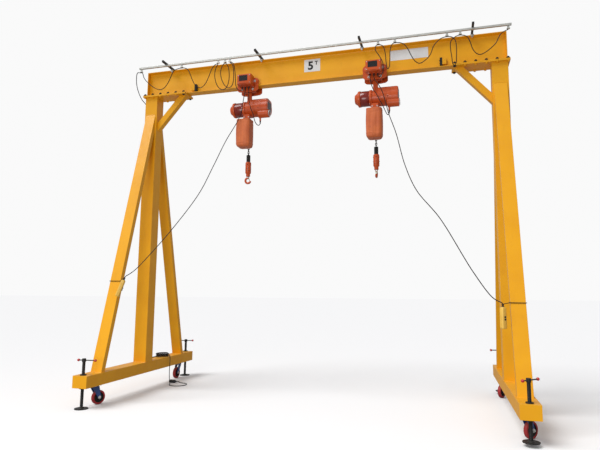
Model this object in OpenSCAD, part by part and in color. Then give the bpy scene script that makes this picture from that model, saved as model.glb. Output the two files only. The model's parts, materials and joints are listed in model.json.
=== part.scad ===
// Gantry crane on casters: one rolled main beam on two A-frame legs, with two electric chain hoists.
// X runs along the beam, Y across it, Z up. The origin is on the floor under the middle of the beam.
// Photographed side: -Y. Lengths are in millimetres.

/* [Main beam] */
// Length of the main beam
beam_l = 6000; // [5600:50:6600]
// Height of the beam's underside above the floor
beam_z = 5050; // [4700:10:5400]
// Depth of the rolled beam
beam_h = 450; // [400:10:500]
// Width of the beam's flanges
beam_w = 150; // [140:2:170]
// Thickness of the beam's web
web_t = 11.5; // [8:0.5:16]
// Mean thickness of the beam's flanges
flange_t = 18; // [15:1:22]
// Thickness of the plates that close the beam's ends
end_plate_t = 12; // [8:1:20]
// Width across the beam of the bolted plates on top of a leg
seat_w = 300; // [280:5:360]
// Length along the beam of the bolted plates
seat_l = 820; // [780:10:900]
// Thickness of each bolted plate
seat_t = 16; // [10:1:25]
// How far the bolted plates reach past the beam's end
seat_over = 30; // [10:1:45]

/* [Legs] */
// Width of a column along the beam
col_w = 230; // [210:5:250]
// Width of a column across the beam
col_d = 210; // [160:5:260]
// Width of a raking leg along the beam
raker_w = 180; // [140:5:200]
// Depth of a raking leg, square to its slope
raker_d = 80; // [60:5:100]
// Distance from a ground beam's end to the outer face of the raking leg on it
raker_inset = 345; // [320:5:450]
// Height at which that outer face meets the column
raker_top = 4700; // [4300:10:4800]
// Wall of the columns, raking legs and knee braces
tube_wall = 8; // [5:0.5:12]
// Reach of a knee brace along the beam, from the column
knee_x = 390; // [300:5:440]
// Drop of a knee brace down the column
knee_z = 445; // [300:5:600]
// Size of the square knee brace
knee_d = 100; // [70:5:120]

/* [Trolley stops] */
// Place of the stops along the beam
stop_x = 2075; // [2040:5:2120]
// Length of a stop along the beam
stop_l = 60; // [40:2:80]
// Height of a stop
stop_h = 96; // [70:2:110]
// Reach of a stop from the web
stop_reach = 62; // [56:1:66]
// Length of a rubber buffer
buffer_l = 36; // [24:1:44]
// Diameter of a buffer at the stop
buffer_d = 50; // [36:1:56]

/* [Ground beams] */
// Length of a ground beam
gb_l = 3120; // [3090:10:3400]
// Width of a ground beam
gb_w = 230; // [220:5:260]
// Height of a ground beam
gb_h = 170; // [140:5:220]
// Wall of a ground beam
gb_wall = 10; // [6:1:14]

/* [Casters] */
// Overall height of a caster
caster_h = 285; // [275:1:320]
// Diameter of a caster wheel
wheel_d = 200; // [180:2:205]
// Width of a caster wheel
wheel_w = 50; // [40:1:60]
// Offset of the wheel's axle from the swivel
trail = 60; // [40:1:65]
// Distance from a ground beam's end to the swivels
caster_inset = 345; // [340:5:400]
// Diameter of the wheel's axle bolt
axle_d = 20; // [14:1:24]
// Side of the square top plate
caster_plate = 140; // [120:2:160]
// Thickness of that plate
caster_plate_t = 10; // [6:1:14]
// Diameter of the swivel race
race_d = 104; // [90:2:116]
// Height of the swivel race
race_h = 16; // [12:1:22]
// Thickness of the fork's steel
fork_t = 7; // [5:0.5:9]
// Clear width beside the wheel, in the fork
wheel_gap = 5; // [4:0.5:8]

/* [Screw jacks] */
// Distance from a ground beam's end to the jack screws
jack_inset = 74; // [66:2:84]
// Diameter of a jack screw
screw_d = 44; // [36:1:52]
// Length from the sole of the foot to the top of the head
screw_l = 685; // [620:5:760]
// Diameter of the foot plate
foot_d = 185; // [150:5:190]
// Thickness of the foot plate
foot_t = 12; // [8:1:16]
// How far the right-hand feet stand above the floor
jack_raised = 40; // [20:1:60]
// Outer diameter of the threaded sleeve in the ground beam
sleeve_d = 66; // [60:1:76]
// Height of the sleeve's collar above and below the ground beam
sleeve_collar = 14; // [8:1:20]
// Height of the screw's cross-drilled head
head_h = 46; // [36:1:56]
// Length of the sliding handle bar
handle_l = 260; // [200:5:300]
// Diameter of the handle bar
handle_d = 16; // [12:1:20]
// Diameter of the handle's ball knobs
knob_d = 38; // [30:1:46]

/* [Trolleys] */
// Place of the left hoist along the beam
left_hoist_x = -1070; // [-1200:5:-900]
// Place of the right hoist along the beam
right_hoist_x = 1052; // [900:5:1200]
// Distance from the trolley's middle to its wheel axles
trolley_axle_x = 122; // [100:2:140]
// Tread diameter of a trolley wheel, at its inner end
trolley_wheel_d = 104; // [90:2:120]
// Thickness of the trolley's side plates
side_plate_t = 12; // [8:1:16]
// How far the side plates hang below the beam
side_plate_drop = 105; // [90:1:120]
// Diameter of the tie bars between the side plates
tie_bar_d = 32; // [24:1:40]
// Distance from the trolley's middle to its tie bars
tie_bar_x = 92; // [84:2:100]
// Drop of the tie bars below the beam
tie_drop = 62; // [56:1:68]
// Width of the suspension lug
lug_w = 76; // [60:2:88]
// Distance from the beam's centre plane to the inner end of a trolley wheel
wheel_in = 40; // [34:1:48]
// Height of the control box's floor above the side plates' foot
box_rise = 67; // [50:1:80]
// Width of the control box
box_w = 240; // [200:5:280]
// Height of the control box
box_h = 175; // [140:5:200]
// Depth of the control box
box_d = 150; // [110:5:170]

/* [Hoists] */
// Height of the hoist's centre line above the floor
hoist_z = 4675; // [4640:5:4690]
// Reach of the motor from the load chain
motor_reach = 325; // [290:5:340]
// Reach of the gear housing from the load chain, the other way
gear_reach = 355; // [330:5:380]
// Diameter of the motor cover
motor_d = 260; // [220:2:270]
// Diameter of the gear housing
gear_d = 270; // [240:2:280]
// Width of the switch housing on top of the gears
housing_w = 236; // [200:2:250]
// Height of that housing above the hoist's centre line
housing_h = 138; // [136:1:150]
// Diameter of the small gear cylinder below the housing
pinion_d = 136; // [120:2:140]
// Width of the chain bag
bag_w = 236; // [190:2:260]
// Depth of the chain bag
bag_d = 215; // [180:2:220]
// Height of the chain bag
bag_h = 450; // [420:5:520]
// Height of the plate from which the bag hangs
bag_strap = 127; // [100:1:150]
// Clear distance from the load chain to the bag
bag_gap = 78; // [76:1:90]
// Wire diameter of the load chain
chain_wire = 11; // [9:0.5:13]
// Pitch of the load chain
chain_pitch = 34; // [32:0.5:40]
// Height of the hook block's lower end above the floor
block_z = 3520; // [3400:5:3600]
// Height of the hook block
block_h = 245; // [200:5:280]
// Diameter of the hook block
block_d = 94; // [80:2:100]
// Height of the rubber bumper above the block
bumper_h = 120; // [80:5:160]
// Diameter of the bumper
bumper_d = 64; // [50:2:76]
// Diameter of the hook's shank
shank_d = 28; // [22:1:32]
// Mean radius of the hook's bowl
bowl_r = 44; // [38:1:50]
// Thickness of the hook's bowl
bowl_d = 34; // [26:1:38]

/* [Cable rail] */
// Distance from the beam's centre plane to the cable rail
rail_y = 275; // [250:5:300]
// Length of the cable rail
rail_l = 6090; // [5700:10:6200]
// Side of the square C-shaped rail
rail_side = 30; // [24:1:36]
// Width of the rail's lower slot
rail_slot = 10; // [8:1:14]
// Places of the rail's arms along the beam
arm_x = [-2520, -845, 850, 2515];
// Reach of an arm in front of the beam's centre plane
arm_reach = 390; // [360:5:420]
// Side of an arm's square tube
arm_side = 32; // [25:1:40]
// Height of the saddles' undersides above the beam's underside
saddle_rise = 376; // [366:2:386]
// Diameter of the hoists' cables
cable_d = 13; // [10:0.5:16]

/* [Pendants] */
// Width of a push-button pendant
pendant_w = 76; // [60:2:84]
// Depth of a pendant
pendant_d = 62; // [50:2:70]
// Height of a pendant
pendant_h = 270; // [220:5:300]
// Thickness of the cord tied round a raking leg
tie_d = 9; // [6:0.5:12]

/* [Supply] */
// Mean radius of the coiled supply cable
coil_r = 95; // [85:1:95]
// Turns side by side in the coil
coil_turns = 3; // [2:1:3]
// Layers of turns in the coil
coil_layers = 3; // [2:1:5]
// Diameter of the plug
plug_d = 56; // [44:2:64]
// Length of the plug with its sleeve
plug_l = 150; // [110:5:180]

/* [Hidden] */
$fn = 48;

// Paints
frame_yellow = [0.93, 0.62, 0.07];
hoist_orange = [0.82, 0.33, 0.12];
fork_blue = [0.10, 0.22, 0.50];
tread_red = [0.66, 0.13, 0.15];
steel_black = [0.08, 0.08, 0.08];
steel_grey = [0.62, 0.64, 0.65];

// Gap that a sliding or turning piece keeps from its seat, and the clearance of a turning pin
seat_gap = 0.3;
pin_gap = 0.05;
// How far a cutting tool reaches past the face that it cuts
cut = 1;
leg_x = beam_l / 2 - col_w / 2;
gb_z = caster_h;
gb_top = gb_z + gb_h;
foot_plate_z = beam_z - seat_t;
head_plate_z = foot_plate_z - seat_t;
seat_mid = beam_l / 2 + seat_over - seat_l / 2;
raker_foot = gb_l / 2 - raker_inset;
caster_y = gb_l / 2 - caster_inset;
jack_y = gb_l / 2 - jack_inset;
rake = atan((raker_foot - col_d / 2) / (raker_top - gb_top));
beam_top = beam_z + beam_h;

// Swivel angle of each caster: 0 trails towards +X, 90 towards +Y
swivel = [[68, -90], [44, -120]];
// Turn of each jack's handle, and how far it has slid through the head
handle_turn = [[5, 20], [45, 15]];
handle_slide = [[45, 0], [30, -20]];

// Thickness of the flange, slope 1 in 6, at a distance y from the web's centre
function flange_at(y) = flange_t + (beam_w / 4 - y) / 6;

// Arc of n + 1 points about a centre
function arc(cx, cy, r, a0, a1, n) =
  [for (i = [0:n]) [cx + r * cos(a0 + (a1 - a0) * i / n), cy + r * sin(a0 + (a1 - a0) * i / n)]];

// Main beam
module i_section() {
  root = 13;
  wt = web_t / 2;
  quarter = concat(
    [[beam_w / 2, 0], [beam_w / 2, flange_at(beam_w / 2)], [wt + root, flange_at(wt + root)]],
    arc(wt + root, flange_at(wt + root) + root, root, 270, 180, 4)
  );
  n = len(quarter);
  lower = concat(quarter, [for (i = [n - 1:-1:0]) [-quarter[i][0], quarter[i][1]]]);
  upper = [for (p = lower) [p[0], beam_h - p[1]]];
  polygon(lower);
  polygon(upper);
  translate([-wt, flange_t]) square([web_t, beam_h - 2 * flange_t]);
}

module main_beam() {
  color(frame_yellow)
    translate([-beam_l / 2 + end_plate_t, 0, beam_z])
      rotate([90, 0, 90]) linear_extrude(beam_l - 2 * end_plate_t) i_section();
}

module beam_end_plates() {
  for (s = [-1, 1])
    color(frame_yellow)
      translate([s * (beam_l - end_plate_t) / 2 - end_plate_t / 2, -beam_w / 2, beam_z])
        cube([end_plate_t, beam_w, beam_h]);
}

module seat_plates(z) {
  for (s = [-1, 1])
    color(frame_yellow)
      translate([s * seat_mid - seat_l / 2, -seat_w / 2, z]) cube([seat_l, seat_w, seat_t]);
}

module beam_foot_plates() { seat_plates(foot_plate_z); }

module leg_head_plates() { seat_plates(head_plate_z); }

// Legs
module box_tube(w, d, l, wall) {
  difference() {
    translate([-w / 2, 0, 0]) cube([w, d, l]);
    translate([-w / 2 + wall, wall, -cut]) cube([w - 2 * wall, d - 2 * wall, l + 2 * cut]);
  }
}

module column(side) {
  color(frame_yellow)
    translate([side * leg_x, -col_d / 2, gb_top])
      box_tube(col_w, col_d, head_plate_z - gb_top, tube_wall);
}

module raker() {
  intersection() {
    translate([0, -raker_foot, gb_top]) rotate([-rake, 0, 0])
      translate([0, 0, -raker_d]) box_tube(raker_w, raker_d, beam_z, tube_wall);
    translate([-raker_w, -raker_foot - 10, gb_top])
      cube([2 * raker_w, raker_foot + 10 - col_d / 2, beam_z]);
  }
}

module rakers(side) {
  for (m = [0, 1])
    color(frame_yellow) translate([side * leg_x, 0, 0]) mirror([0, m, 0]) raker();
}

module knee_brace() {
  slope = atan(knee_z / knee_x);
  face = leg_x - col_w / 2;
  intersection() {
    translate([face, -knee_d / 2, head_plate_z - knee_z]) rotate([0, -90 + slope, 0])
      translate([-knee_d, 0, -knee_z])
        difference() {
          cube([knee_d, knee_d, 3 * knee_z]);
          translate([tube_wall, tube_wall, -cut])
            cube([knee_d - 2 * tube_wall, knee_d - 2 * tube_wall, 3 * knee_z + 2 * cut]);
        }
    translate([0, -knee_d, 0]) cube([face, 2 * knee_d, head_plate_z]);
  }
}

module knee_braces() {
  for (m = [0, 1]) color(frame_yellow) mirror([m, 0, 0]) knee_brace();
}

// Ground beams
module ground_beam(side) {
  color(frame_yellow)
    translate([side * leg_x, 0, gb_z])
      difference() {
        translate([-gb_w / 2, -gb_l / 2, 0]) cube([gb_w, gb_l, gb_h]);
        translate([-gb_w / 2 + gb_wall, -gb_l / 2 + gb_wall, gb_wall])
          cube([gb_w - 2 * gb_wall, gb_l - 2 * gb_wall, gb_h - 2 * gb_wall]);
        for (e = [-1, 1])
          translate([0, e * jack_y, -cut]) cylinder(d = sleeve_d, h = gb_h + 2 * cut);
      }
}

// Casters, drawn about the swivel axis with the wheel trailing towards +X
module at_caster(side, end) {
  translate([side * leg_x, end * caster_y, 0])
    rotate([0, 0, swivel[side > 0 ? 1 : 0][end > 0 ? 1 : 0]]) children();
}

fork_gap = wheel_w / 2 + wheel_gap;

module caster_plates() {
  for (side = [-1, 1], end = [-1, 1])
    color(steel_grey)
      translate([side * leg_x, end * caster_y, caster_h - caster_plate_t])
        translate([-caster_plate / 2, -caster_plate / 2, 0])
          cube([caster_plate, caster_plate, caster_plate_t]);
}

module fork_cheek() {
  axle_z = wheel_d / 2;
  crown_z = caster_h - caster_plate_t - race_h;
  rotate([90, 0, 0]) translate([0, 0, -fork_t / 2]) linear_extrude(fork_t) union() {
    polygon([
      [-race_d / 2, crown_z], [-race_d / 2, crown_z - 14], [trail - 24, axle_z],
      [trail + 24, axle_z], [race_d / 2, crown_z - 14], [race_d / 2, crown_z]
    ]);
    translate([trail, axle_z]) circle(r = 24);
  }
}

module fork() {
  crown_z = caster_h - caster_plate_t - race_h;
  half = fork_gap + fork_t;
  color(fork_blue) {
    translate([0, 0, crown_z - fork_t]) {
      cylinder(d = race_d, h = race_h + fork_t - seat_gap);
      translate([-race_d / 2, -half, 0]) cube([race_d, 2 * half, fork_t]);
    }
    for (s = [-1, 1]) translate([0, s * (fork_gap + fork_t / 2), 0]) fork_cheek();
    translate([trail, half + 10, wheel_d / 2]) rotate([90, 0, 0]) cylinder(d = axle_d, h = 2 * half + 20);
    for (s = [-1, 1])
      translate([trail, s * (half + 5) + 5, wheel_d / 2]) rotate([90, 0, 0])
        cylinder(d = 1.7 * axle_d, h = 10, $fn = 6);
  }
}

module wheel() {
  r = wheel_d / 2;
  h = wheel_w / 2;
  hub = axle_d / 2 + 16;
  web = 9;
  rim = r - 26;
  profile = concat(
    [[axle_d / 2 + pin_gap, -h - 3], [hub, -h - 3], [hub + 3, -web], [rim - 3, -web], [rim, -h + 2]],
    [[r - 10, -h]],
    arc(r - 10, -h + 10, 10, 270, 360, 4),
    arc(r - 10, h - 10, 10, 0, 90, 4),
    [[rim, h - 2], [rim - 3, web], [hub + 3, web], [hub, h + 3], [axle_d / 2 + pin_gap, h + 3]]
  );
  color(tread_red) translate([trail, 0, r]) rotate([90, 0, 0]) rotate_extrude() polygon(profile);
}

// Screw jacks
module at_jack(side, end) {
  translate([side * leg_x, end * jack_y, side > 0 ? jack_raised : 0]) children();
}

module jack_sleeves() {
  for (side = [-1, 1], end = [-1, 1])
    color(steel_black)
      translate([side * leg_x, end * jack_y, gb_z - sleeve_collar]) difference() {
        union() {
          cylinder(d = sleeve_d, h = gb_h + 2 * sleeve_collar);
          cylinder(d = sleeve_d + 20, h = sleeve_collar);
          translate([0, 0, gb_h + sleeve_collar]) cylinder(d = sleeve_d + 20, h = sleeve_collar);
        }
        translate([0, 0, -cut])
          cylinder(d = screw_d + 2 * seat_gap, h = gb_h + 2 * (sleeve_collar + cut));
      }
}

module jack(side, end) {
  turn = handle_turn[side > 0 ? 1 : 0][end > 0 ? 1 : 0];
  slide = handle_slide[side > 0 ? 1 : 0][end > 0 ? 1 : 0];
  at_jack(side, end) {
    color(steel_black) {
      cylinder(d = foot_d, h = foot_t);
      translate([0, 0, foot_t]) cylinder(d1 = screw_d + 36, d2 = screw_d, h = 16);
      cylinder(d = screw_d, h = screw_l);
      translate([0, 0, screw_l - head_h]) cylinder(d = screw_d + 10, h = head_h);
    }
    translate([0, 0, screw_l - head_h / 2]) rotate([0, 0, turn]) translate([slide, 0, 0]) {
      color(steel_black) rotate([0, 90, 0]) cylinder(d = handle_d, h = handle_l, center = true);
      for (s = [-1, 1]) color(tread_red) translate([s * handle_l / 2, 0, 0]) sphere(d = knob_d);
    }
  }
}

// Trolley, drawn about the beam's underside at the hoist's place
wheel_out = beam_w / 2 + 10;
plate_y = beam_w / 2 + 14;
axle_z = flange_at(wheel_in) + seat_gap + trolley_wheel_d / 2;
tie_z = -tie_drop;

// Radius of the trolley wheel's tread, which follows the sloping flange
function tread_r(y) = axle_z - flange_at(y) - seat_gap;

module side_plate() {
  foot = 74;
  union() {
    for (s = [-1, 1]) translate([s * trolley_axle_x, axle_z]) circle(r = 64);
    translate([-trolley_axle_x - 64, -10]) square([2 * trolley_axle_x + 128, axle_z + 10]);
    translate([-trolley_axle_x, axle_z]) square([2 * trolley_axle_x, 44]);
    polygon([
      [-trolley_axle_x - 64, -10], [-trolley_axle_x - 64, tie_z - 6], [-trolley_axle_x - 30, tie_z - 34],
      [-foot, -side_plate_drop], [foot, -side_plate_drop], [trolley_axle_x + 30, tie_z - 34],
      [trolley_axle_x + 64, tie_z - 6], [trolley_axle_x + 64, -10]
    ]);
  }
}

module trolley_wheel() {
  rotate([-90, 0, 0]) rotate_extrude() polygon([
    [0, wheel_in], [tread_r(wheel_in), wheel_in], [tread_r(beam_w / 2), beam_w / 2],
    [tread_r(beam_w / 2) + 13, beam_w / 2 + 3], [tread_r(beam_w / 2) + 13, wheel_out], [0, wheel_out]
  ]);
}

module trolley_half() {
  translate([0, plate_y + side_plate_t, 0]) rotate([90, 0, 0]) linear_extrude(side_plate_t) side_plate();
  for (s = [-1, 1]) translate([s * trolley_axle_x, 0, axle_z]) {
    translate([0, wheel_out, 0]) rotate([-90, 0, 0]) cylinder(r = 24, h = plate_y - wheel_out);
    translate([0, plate_y, 0]) rotate([-90, 0, 0]) cylinder(r = 52, h = side_plate_t + 16);
    trolley_wheel();
  }
}

module trolley_frame(x) {
  span = 2 * (plate_y + side_plate_t + 14);
  top = hoist_z + gear_d / 2;
  color(hoist_orange) translate([x, 0, beam_z]) {
    for (m = [0, 1]) mirror([0, m, 0]) trolley_half();
    for (s = [-1, 1])
      translate([s * tie_bar_x, span / 2, tie_z]) rotate([90, 0, 0]) cylinder(d = tie_bar_d, h = span);
    translate([-tie_bar_x, -18, tie_z - tie_bar_d / 2 - 6]) cube([2 * tie_bar_x, 36, tie_bar_d + 12]);
    translate([-lug_w / 2, -14, top - beam_z]) cube([lug_w, 28, beam_z - top + tie_z]);
  }
}

box_y = plate_y + side_plate_t + 24;
box_z = beam_z - side_plate_drop + box_rise;
gland_h = 22;
gland_x = 60;

module control_box(x) {
  color(hoist_orange) translate([x, 0, box_z]) {
    translate([-box_w / 2, -box_y - box_d, 0]) {
      cube([box_w, box_d, box_h]);
      translate([14, -10, 14]) cube([box_w - 28, 11, box_h - 28]);
    }
    for (s = [-1, 1]) translate([s * 78 - 12, -box_y - 1, 24]) cube([24, 25, 40]);
    for (gx = [-gland_x, 0, gland_x])
      translate([gx, -box_y - box_d / 2, -gland_h]) cylinder(d = 2 * cable_d, h = gland_h + 1);
  }
}

// Hoist body, along X
module along_x(x, z) { translate([x, 0, z]) rotate([0, 90, 0]) children(); }

// Ends of the drum between the motor and the switch housing
drum_x = [-70, 46];
// Centre of the small gear cylinder, and the place of the cable gland in it
pinion_at = [-50, -112];
lead_x = 215;
lead_gland = 55;

module motor(x) {
  r = motor_d / 2;
  x0 = -motor_reach;
  color(hoist_orange) along_x(x, hoist_z) rotate_extrude() polygon(concat(
    [[0, x0]],
    arc(r - 68, x0 + 12, 12, 270, 325, 3),
    arc(r - 22, x0 + 68, 18, 325, 360, 3),
    [[r - 4, x0 + 94], [r - 10, x0 + 96], [r - 10, drum_x[0] - 22], [r, drum_x[0] - 18], [r, drum_x[0]]],
    [[0, drum_x[0]]]
  ));
}

// Cross-section of the switch housing and gears, narrower all round by inset
module housing_profile(inset) {
  w = housing_w / 2 - inset;
  h = housing_h - inset;
  r = 46;
  circle(r = gear_d / 2 - inset);
  for (s = [-1, 1]) translate([s * (w - r), h - r]) circle(r = r);
  translate([-w, 0]) square([2 * w, h - r]);
  translate([-w + r, 0]) square([2 * w - 2 * r, h]);
}

module gearcase(x) {
  r = gear_d / 2;
  seam = gear_reach - 120;
  color(hoist_orange) translate([x, 0, hoist_z]) {
    rotate([0, 90, 0]) rotate_extrude() polygon([
      [0, drum_x[0]], [r - 4, drum_x[0]], [r - 4, drum_x[0] + 20], [r - 20, drum_x[0] + 25],
      [r - 20, drum_x[1] - 4], [r - 2, drum_x[1]], [0, drum_x[1] + 10]
    ]);
    rotate([90, 0, 90]) {
      translate([0, 0, drum_x[1]]) linear_extrude(seam - drum_x[1]) housing_profile(0);
      translate([0, 0, seam]) linear_extrude(5) housing_profile(4);
      translate([0, 0, seam + 5]) linear_extrude(gear_reach - seam - 17) housing_profile(0);
      translate([0, 0, gear_reach - 12]) linear_extrude(12) housing_profile(6);
      translate([pinion_at[0], pinion_at[1], 190]) cylinder(d = pinion_d, h = gear_reach - 180);
    }
    translate([lead_x, pinion_at[0], pinion_at[1] - pinion_d / 2 - lead_gland])
      cylinder(d = 28, h = lead_gland + 20);
    translate([-lug_w / 2, -32, 0]) cube([lug_w, 64, r]);
    translate([-52, -44, -r - 4]) cube([104, 88, r]);
  }
}

module chain_bag(x) {
  back = -bag_gap;
  under = hoist_z - gear_d / 2;
  top = under - bag_strap;
  bottom = top - bag_h;
  r = 26;
  color(hoist_orange) {
    hull() for (sx = [-1, 1], sy = [0, 1]) {
      translate([x + sx * (bag_w / 2 - r), back - r - sy * (bag_d - 2 * r), bottom + 90])
        cylinder(r = r, h = bag_h - 90, $fn = 24);
      translate([x + sx * (bag_w / 2 - 2 * r), back - 2 * r - sy * (bag_d - 4 * r), bottom])
        cylinder(r1 = r / 2, r2 = r, h = 20, $fn = 24);
    }
    translate([x - 55, back - 60, top - 10]) cube([110, 12, bag_strap + 15]);
    translate([x - 55, back - 60, under - 12]) cube([110, bag_gap + 16, 17]);
  }
}

// Load chain and hook
link_side = 11.5;

// One link, longer inside than the given pitch by the gap at its seat
module link(pitch) {
  half = round(50 * (pitch + seat_gap - 2 * link_side + chain_wire)) / 100;
  for (s = [0, 180]) rotate([0, s, 0]) {
    translate([0, 0, half]) rotate([90, 0, 0])
      rotate_extrude(angle = 180) translate([link_side, 0]) circle(d = chain_wire, $fn = 16);
    translate([link_side, 0, -half]) cylinder(d = chain_wire, h = 2 * half, $fn = 16);
  }
}

// Links from the top of the block, up through the bumper, to the guide under the gears
module load_chain(x) {
  low = block_z + block_h + seat_gap;
  high = hoist_z - gear_d / 2 - 4 - seat_gap;
  room = high - low - 2 * chain_wire - seat_gap;
  n = round(room / chain_pitch);
  pitch = room / n;
  color(steel_black) for (i = [0:n - 1])
    translate([x, 0, low + chain_wire + seat_gap / 2 + (i + 0.5) * pitch])
      rotate([0, 0, 90 * (i % 2)]) link(pitch);
}

module chain_bumper(x) {
  r = bumper_d / 2;
  bore = link_side + chain_wire / 2 + 3;
  color(steel_black) translate([x, 0, block_z + block_h]) rotate_extrude() polygon(concat(
    [[bore, 0], [r, 0]], arc(r - 8, bumper_h - 8, 8, 0, 90, 3), [[bore, bumper_h]]
  ));
}

module hook_block(x) {
  r = block_d / 2;
  color(hoist_orange) translate([x, 0, block_z]) rotate_extrude() polygon(concat(
    [[shank_d / 2 + pin_gap, 0], [r - 18, 0], [r - 14, 6], [r - 14, 44], [r, 62]],
    arc(r - 16, block_h - 16, 16, 0, 90, 4),
    [[0, block_h], [0, 50], [shank_d / 2 + pin_gap, 50]]
  ));
}

module hook(x, turn) {
  r = bowl_d / 2;
  drop = 22 + bowl_r;
  latch_w = 18;
  color(hoist_orange) translate([x, 0, block_z]) rotate([0, 0, turn]) {
    translate([0, 0, -22]) cylinder(d = shank_d, h = 22 + 48);
    translate([0, 0, -22]) sphere(r = r + 2);
    translate([0, 0, -drop]) rotate([90, 0, 0]) rotate([0, 0, 215]) {
      rotate_extrude(angle = 235) translate([bowl_r, 0]) circle(r = r);
      translate([bowl_r, 0, 0]) rotate([90, 0, 0]) cylinder(r1 = r, r2 = 0.6 * r, h = 20);
    }
    translate([-13, -latch_w / 2, bowl_r - 7 - drop]) rotate([0, 20, 0]) translate([-3, 0, -bowl_r])
      cube([3, latch_w, bowl_r]);
  }
}

// Cable rail on its arms
rail_top = beam_top + 8;

module festoon_rail() {
  wall = 3;
  inner = rail_side - 2 * wall;
  color(steel_grey)
    translate([-rail_l / 2, -rail_y, rail_top - rail_side])
      rotate([90, 0, 90]) linear_extrude(rail_l) difference() {
        translate([-rail_side / 2, 0]) square(rail_side);
        translate([-inner / 2, wall]) square(inner);
        translate([-rail_slot / 2, -cut]) square([rail_slot, wall + 2 * cut]);
      }
}

module rail_arms() {
  for (x = arm_x) color(steel_black) {
    translate([x - arm_side / 2, -arm_reach, rail_top]) cube([arm_side, arm_reach + 60, arm_side]);
    translate([x - 30, -beam_w / 2, beam_top]) cube([60, 40, rail_top - beam_top]);
    translate([x - 30, 20, beam_top]) cube([60, 40, rail_top - beam_top]);
  }
}

// Saddles that carry the cables under the rail, with a clamp at each end of it
left_saddles = [-2220, -1540, -1415, -1330];
right_saddles = [2337, 2149, 1386, 1130];
rail_clamps = [45 - rail_l / 2, rail_l / 2 - 45];
saddle_z = beam_z + saddle_rise + 6;
// Height of a cable that a saddle holds
laid = saddle_z - 6 - cable_d / 2 - seat_gap;

module cable_saddles() {
  neck = rail_top - rail_side - saddle_z;
  for (x = concat(left_saddles, right_saddles, rail_clamps)) color(steel_grey) {
    translate([x - 16, -rail_y - 4, saddle_z]) cube([32, 8, neck + 8]);
    translate([x - 16, -rail_y - 10, saddle_z + neck + 3.3]) cube([32, 20, 8]);
    translate([x - 22, -rail_y - 16, saddle_z - 6]) cube([44, 32, 12]);
  }
}

// Stops welded to the web, with rubber buffers that face the trolleys
module trolley_stops() {
  for (s = [-1, 1]) color(frame_yellow)
    translate([s * stop_x + (s > 0 ? 0 : -stop_l), 0, beam_z + 2 * flange_t + 4])
      for (m = [0, 1]) mirror([0, m, 0]) translate([0, web_t / 2, 0]) cube([stop_l, stop_reach, stop_h]);
}

module stop_buffers() {
  for (s = [-1, 1], e = [-1, 1]) color(steel_black)
    translate([s * stop_x, e * 42, axle_z + beam_z]) rotate([0, -s * 90, 0])
      cylinder(d1 = buffer_d, d2 = 0.76 * buffer_d, h = buffer_l);
}

pendant_yellow = [0.86, 0.66, 0.10];
pendant_at = [[-2662, -975, 1800], [2700, -1000, 1490]];
// Turn of each pendant about the vertical, and its lean
pendant_turn = [110, 40];
pendant_lean = [22, 0];
// Height at which each pendant's cord goes round the raking leg
tie_z_at = [1774, 1530];
coil_at = [-2885, 620, gb_top];

// Cables: points chosen along each route
festoon_left = [
  [-3000, -275, laid], [-2988, -275, laid], [-2972, -275, 5395], [-2960, -275, 5350], [-2926, -275, 5289],
  [-2860, -275, 5220], [-2780, -275, 5150], [-2690, -275, 5095], [-2612, -275, 5072], [-2545, -275, 5096],
  [-2472, -275, 5178], [-2419, -275, 5290], [-2370, -275, 5385], [-2300, -275, 5413], [-2220, -275, laid],
  [-2150, -275, 5410], [-2101, -275, 5375], [-2055, -275, 5290], [-2010, -275, 5184], [-1960, -275, 5095],
  [-1900, -275, 5040], [-1830, -275, 5035], [-1760, -275, 5100], [-1703, -275, 5220], [-1650, -275, 5350],
  [-1600, -275, 5405], [-1540, -275, laid], [-1580, -262, 5370], [-1605, -262, 5260], [-1585, -262, 5120],
  [-1530, -262, 5010], [-1450, -262, 4960], [-1385, -264, 4990], [-1345, -266, 5100], [-1340, -270, 5240],
  [-1365, -273, 5360], [-1415, -275, laid], [-1460, -290, 5360], [-1485, -290, 5250], [-1455, -290, 5110],
  [-1395, -290, 5010], [-1325, -290, 4970], [-1272, -290, 5010], [-1250, -288, 5130], [-1258, -284, 5280],
  [-1285, -280, 5380], [-1330, -275, laid], [-1272, -278, 5400], [-1240, -285, 5300], [-1222, -290, 5200],
  [-1216, -288, 5080], [-1205, -280, 4985], [-1178, -262, 4935], [-1146, -222, 4925], [-1130, -200, 4955],
  [-1130, -200, 4990]
];
festoon_right = [
  [3000, -275, laid], [2950, -275, 5400], [2900, -275, 5370], [2863, -275, 5310], [2825, -275, 5233],
  [2755, -275, 5165], [2671, -275, 5107], [2602, -275, 5084], [2548, -275, 5114], [2502, -275, 5190],
  [2471, -275, 5300], [2430, -275, 5385], [2337, -275, laid], [2270, -272, 5405], [2205, -266, 5350],
  [2195, -262, 5250], [2210, -262, 5100], [2222, -264, 4990], [2245, -272, 4958], [2266, -284, 4990],
  [2276, -288, 5100], [2278, -288, 5250], [2262, -285, 5350], [2210, -280, 5405], [2149, -275, laid],
  [2100, -275, 5413], [2049, -275, 5395], [1960, -275, 5305], [1899, -275, 5161], [1810, -275, 5075],
  [1744, -275, 5048], [1679, -275, 5093], [1622, -275, 5194], [1565, -275, 5320], [1500, -275, 5395],
  [1386, -275, laid], [1340, -275, 5400], [1312, -275, 5300], [1306, -275, 5150], [1290, -275, 5030],
  [1270, -275, 5010], [1252, -275, 5100], [1236, -275, 5280], [1200, -275, 5395], [1130, -275, laid],
  [1092, -278, 5400], [1092, -285, 5330], [1130, -290, 5260], [1170, -290, 5190], [1200, -288, 5120],
  [1206, -284, 5040], [1196, -275, 4965], [1165, -250, 4927], [1128, -215, 4925], [1112, -200, 4955],
  [1112, -200, 4990]
];
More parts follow.
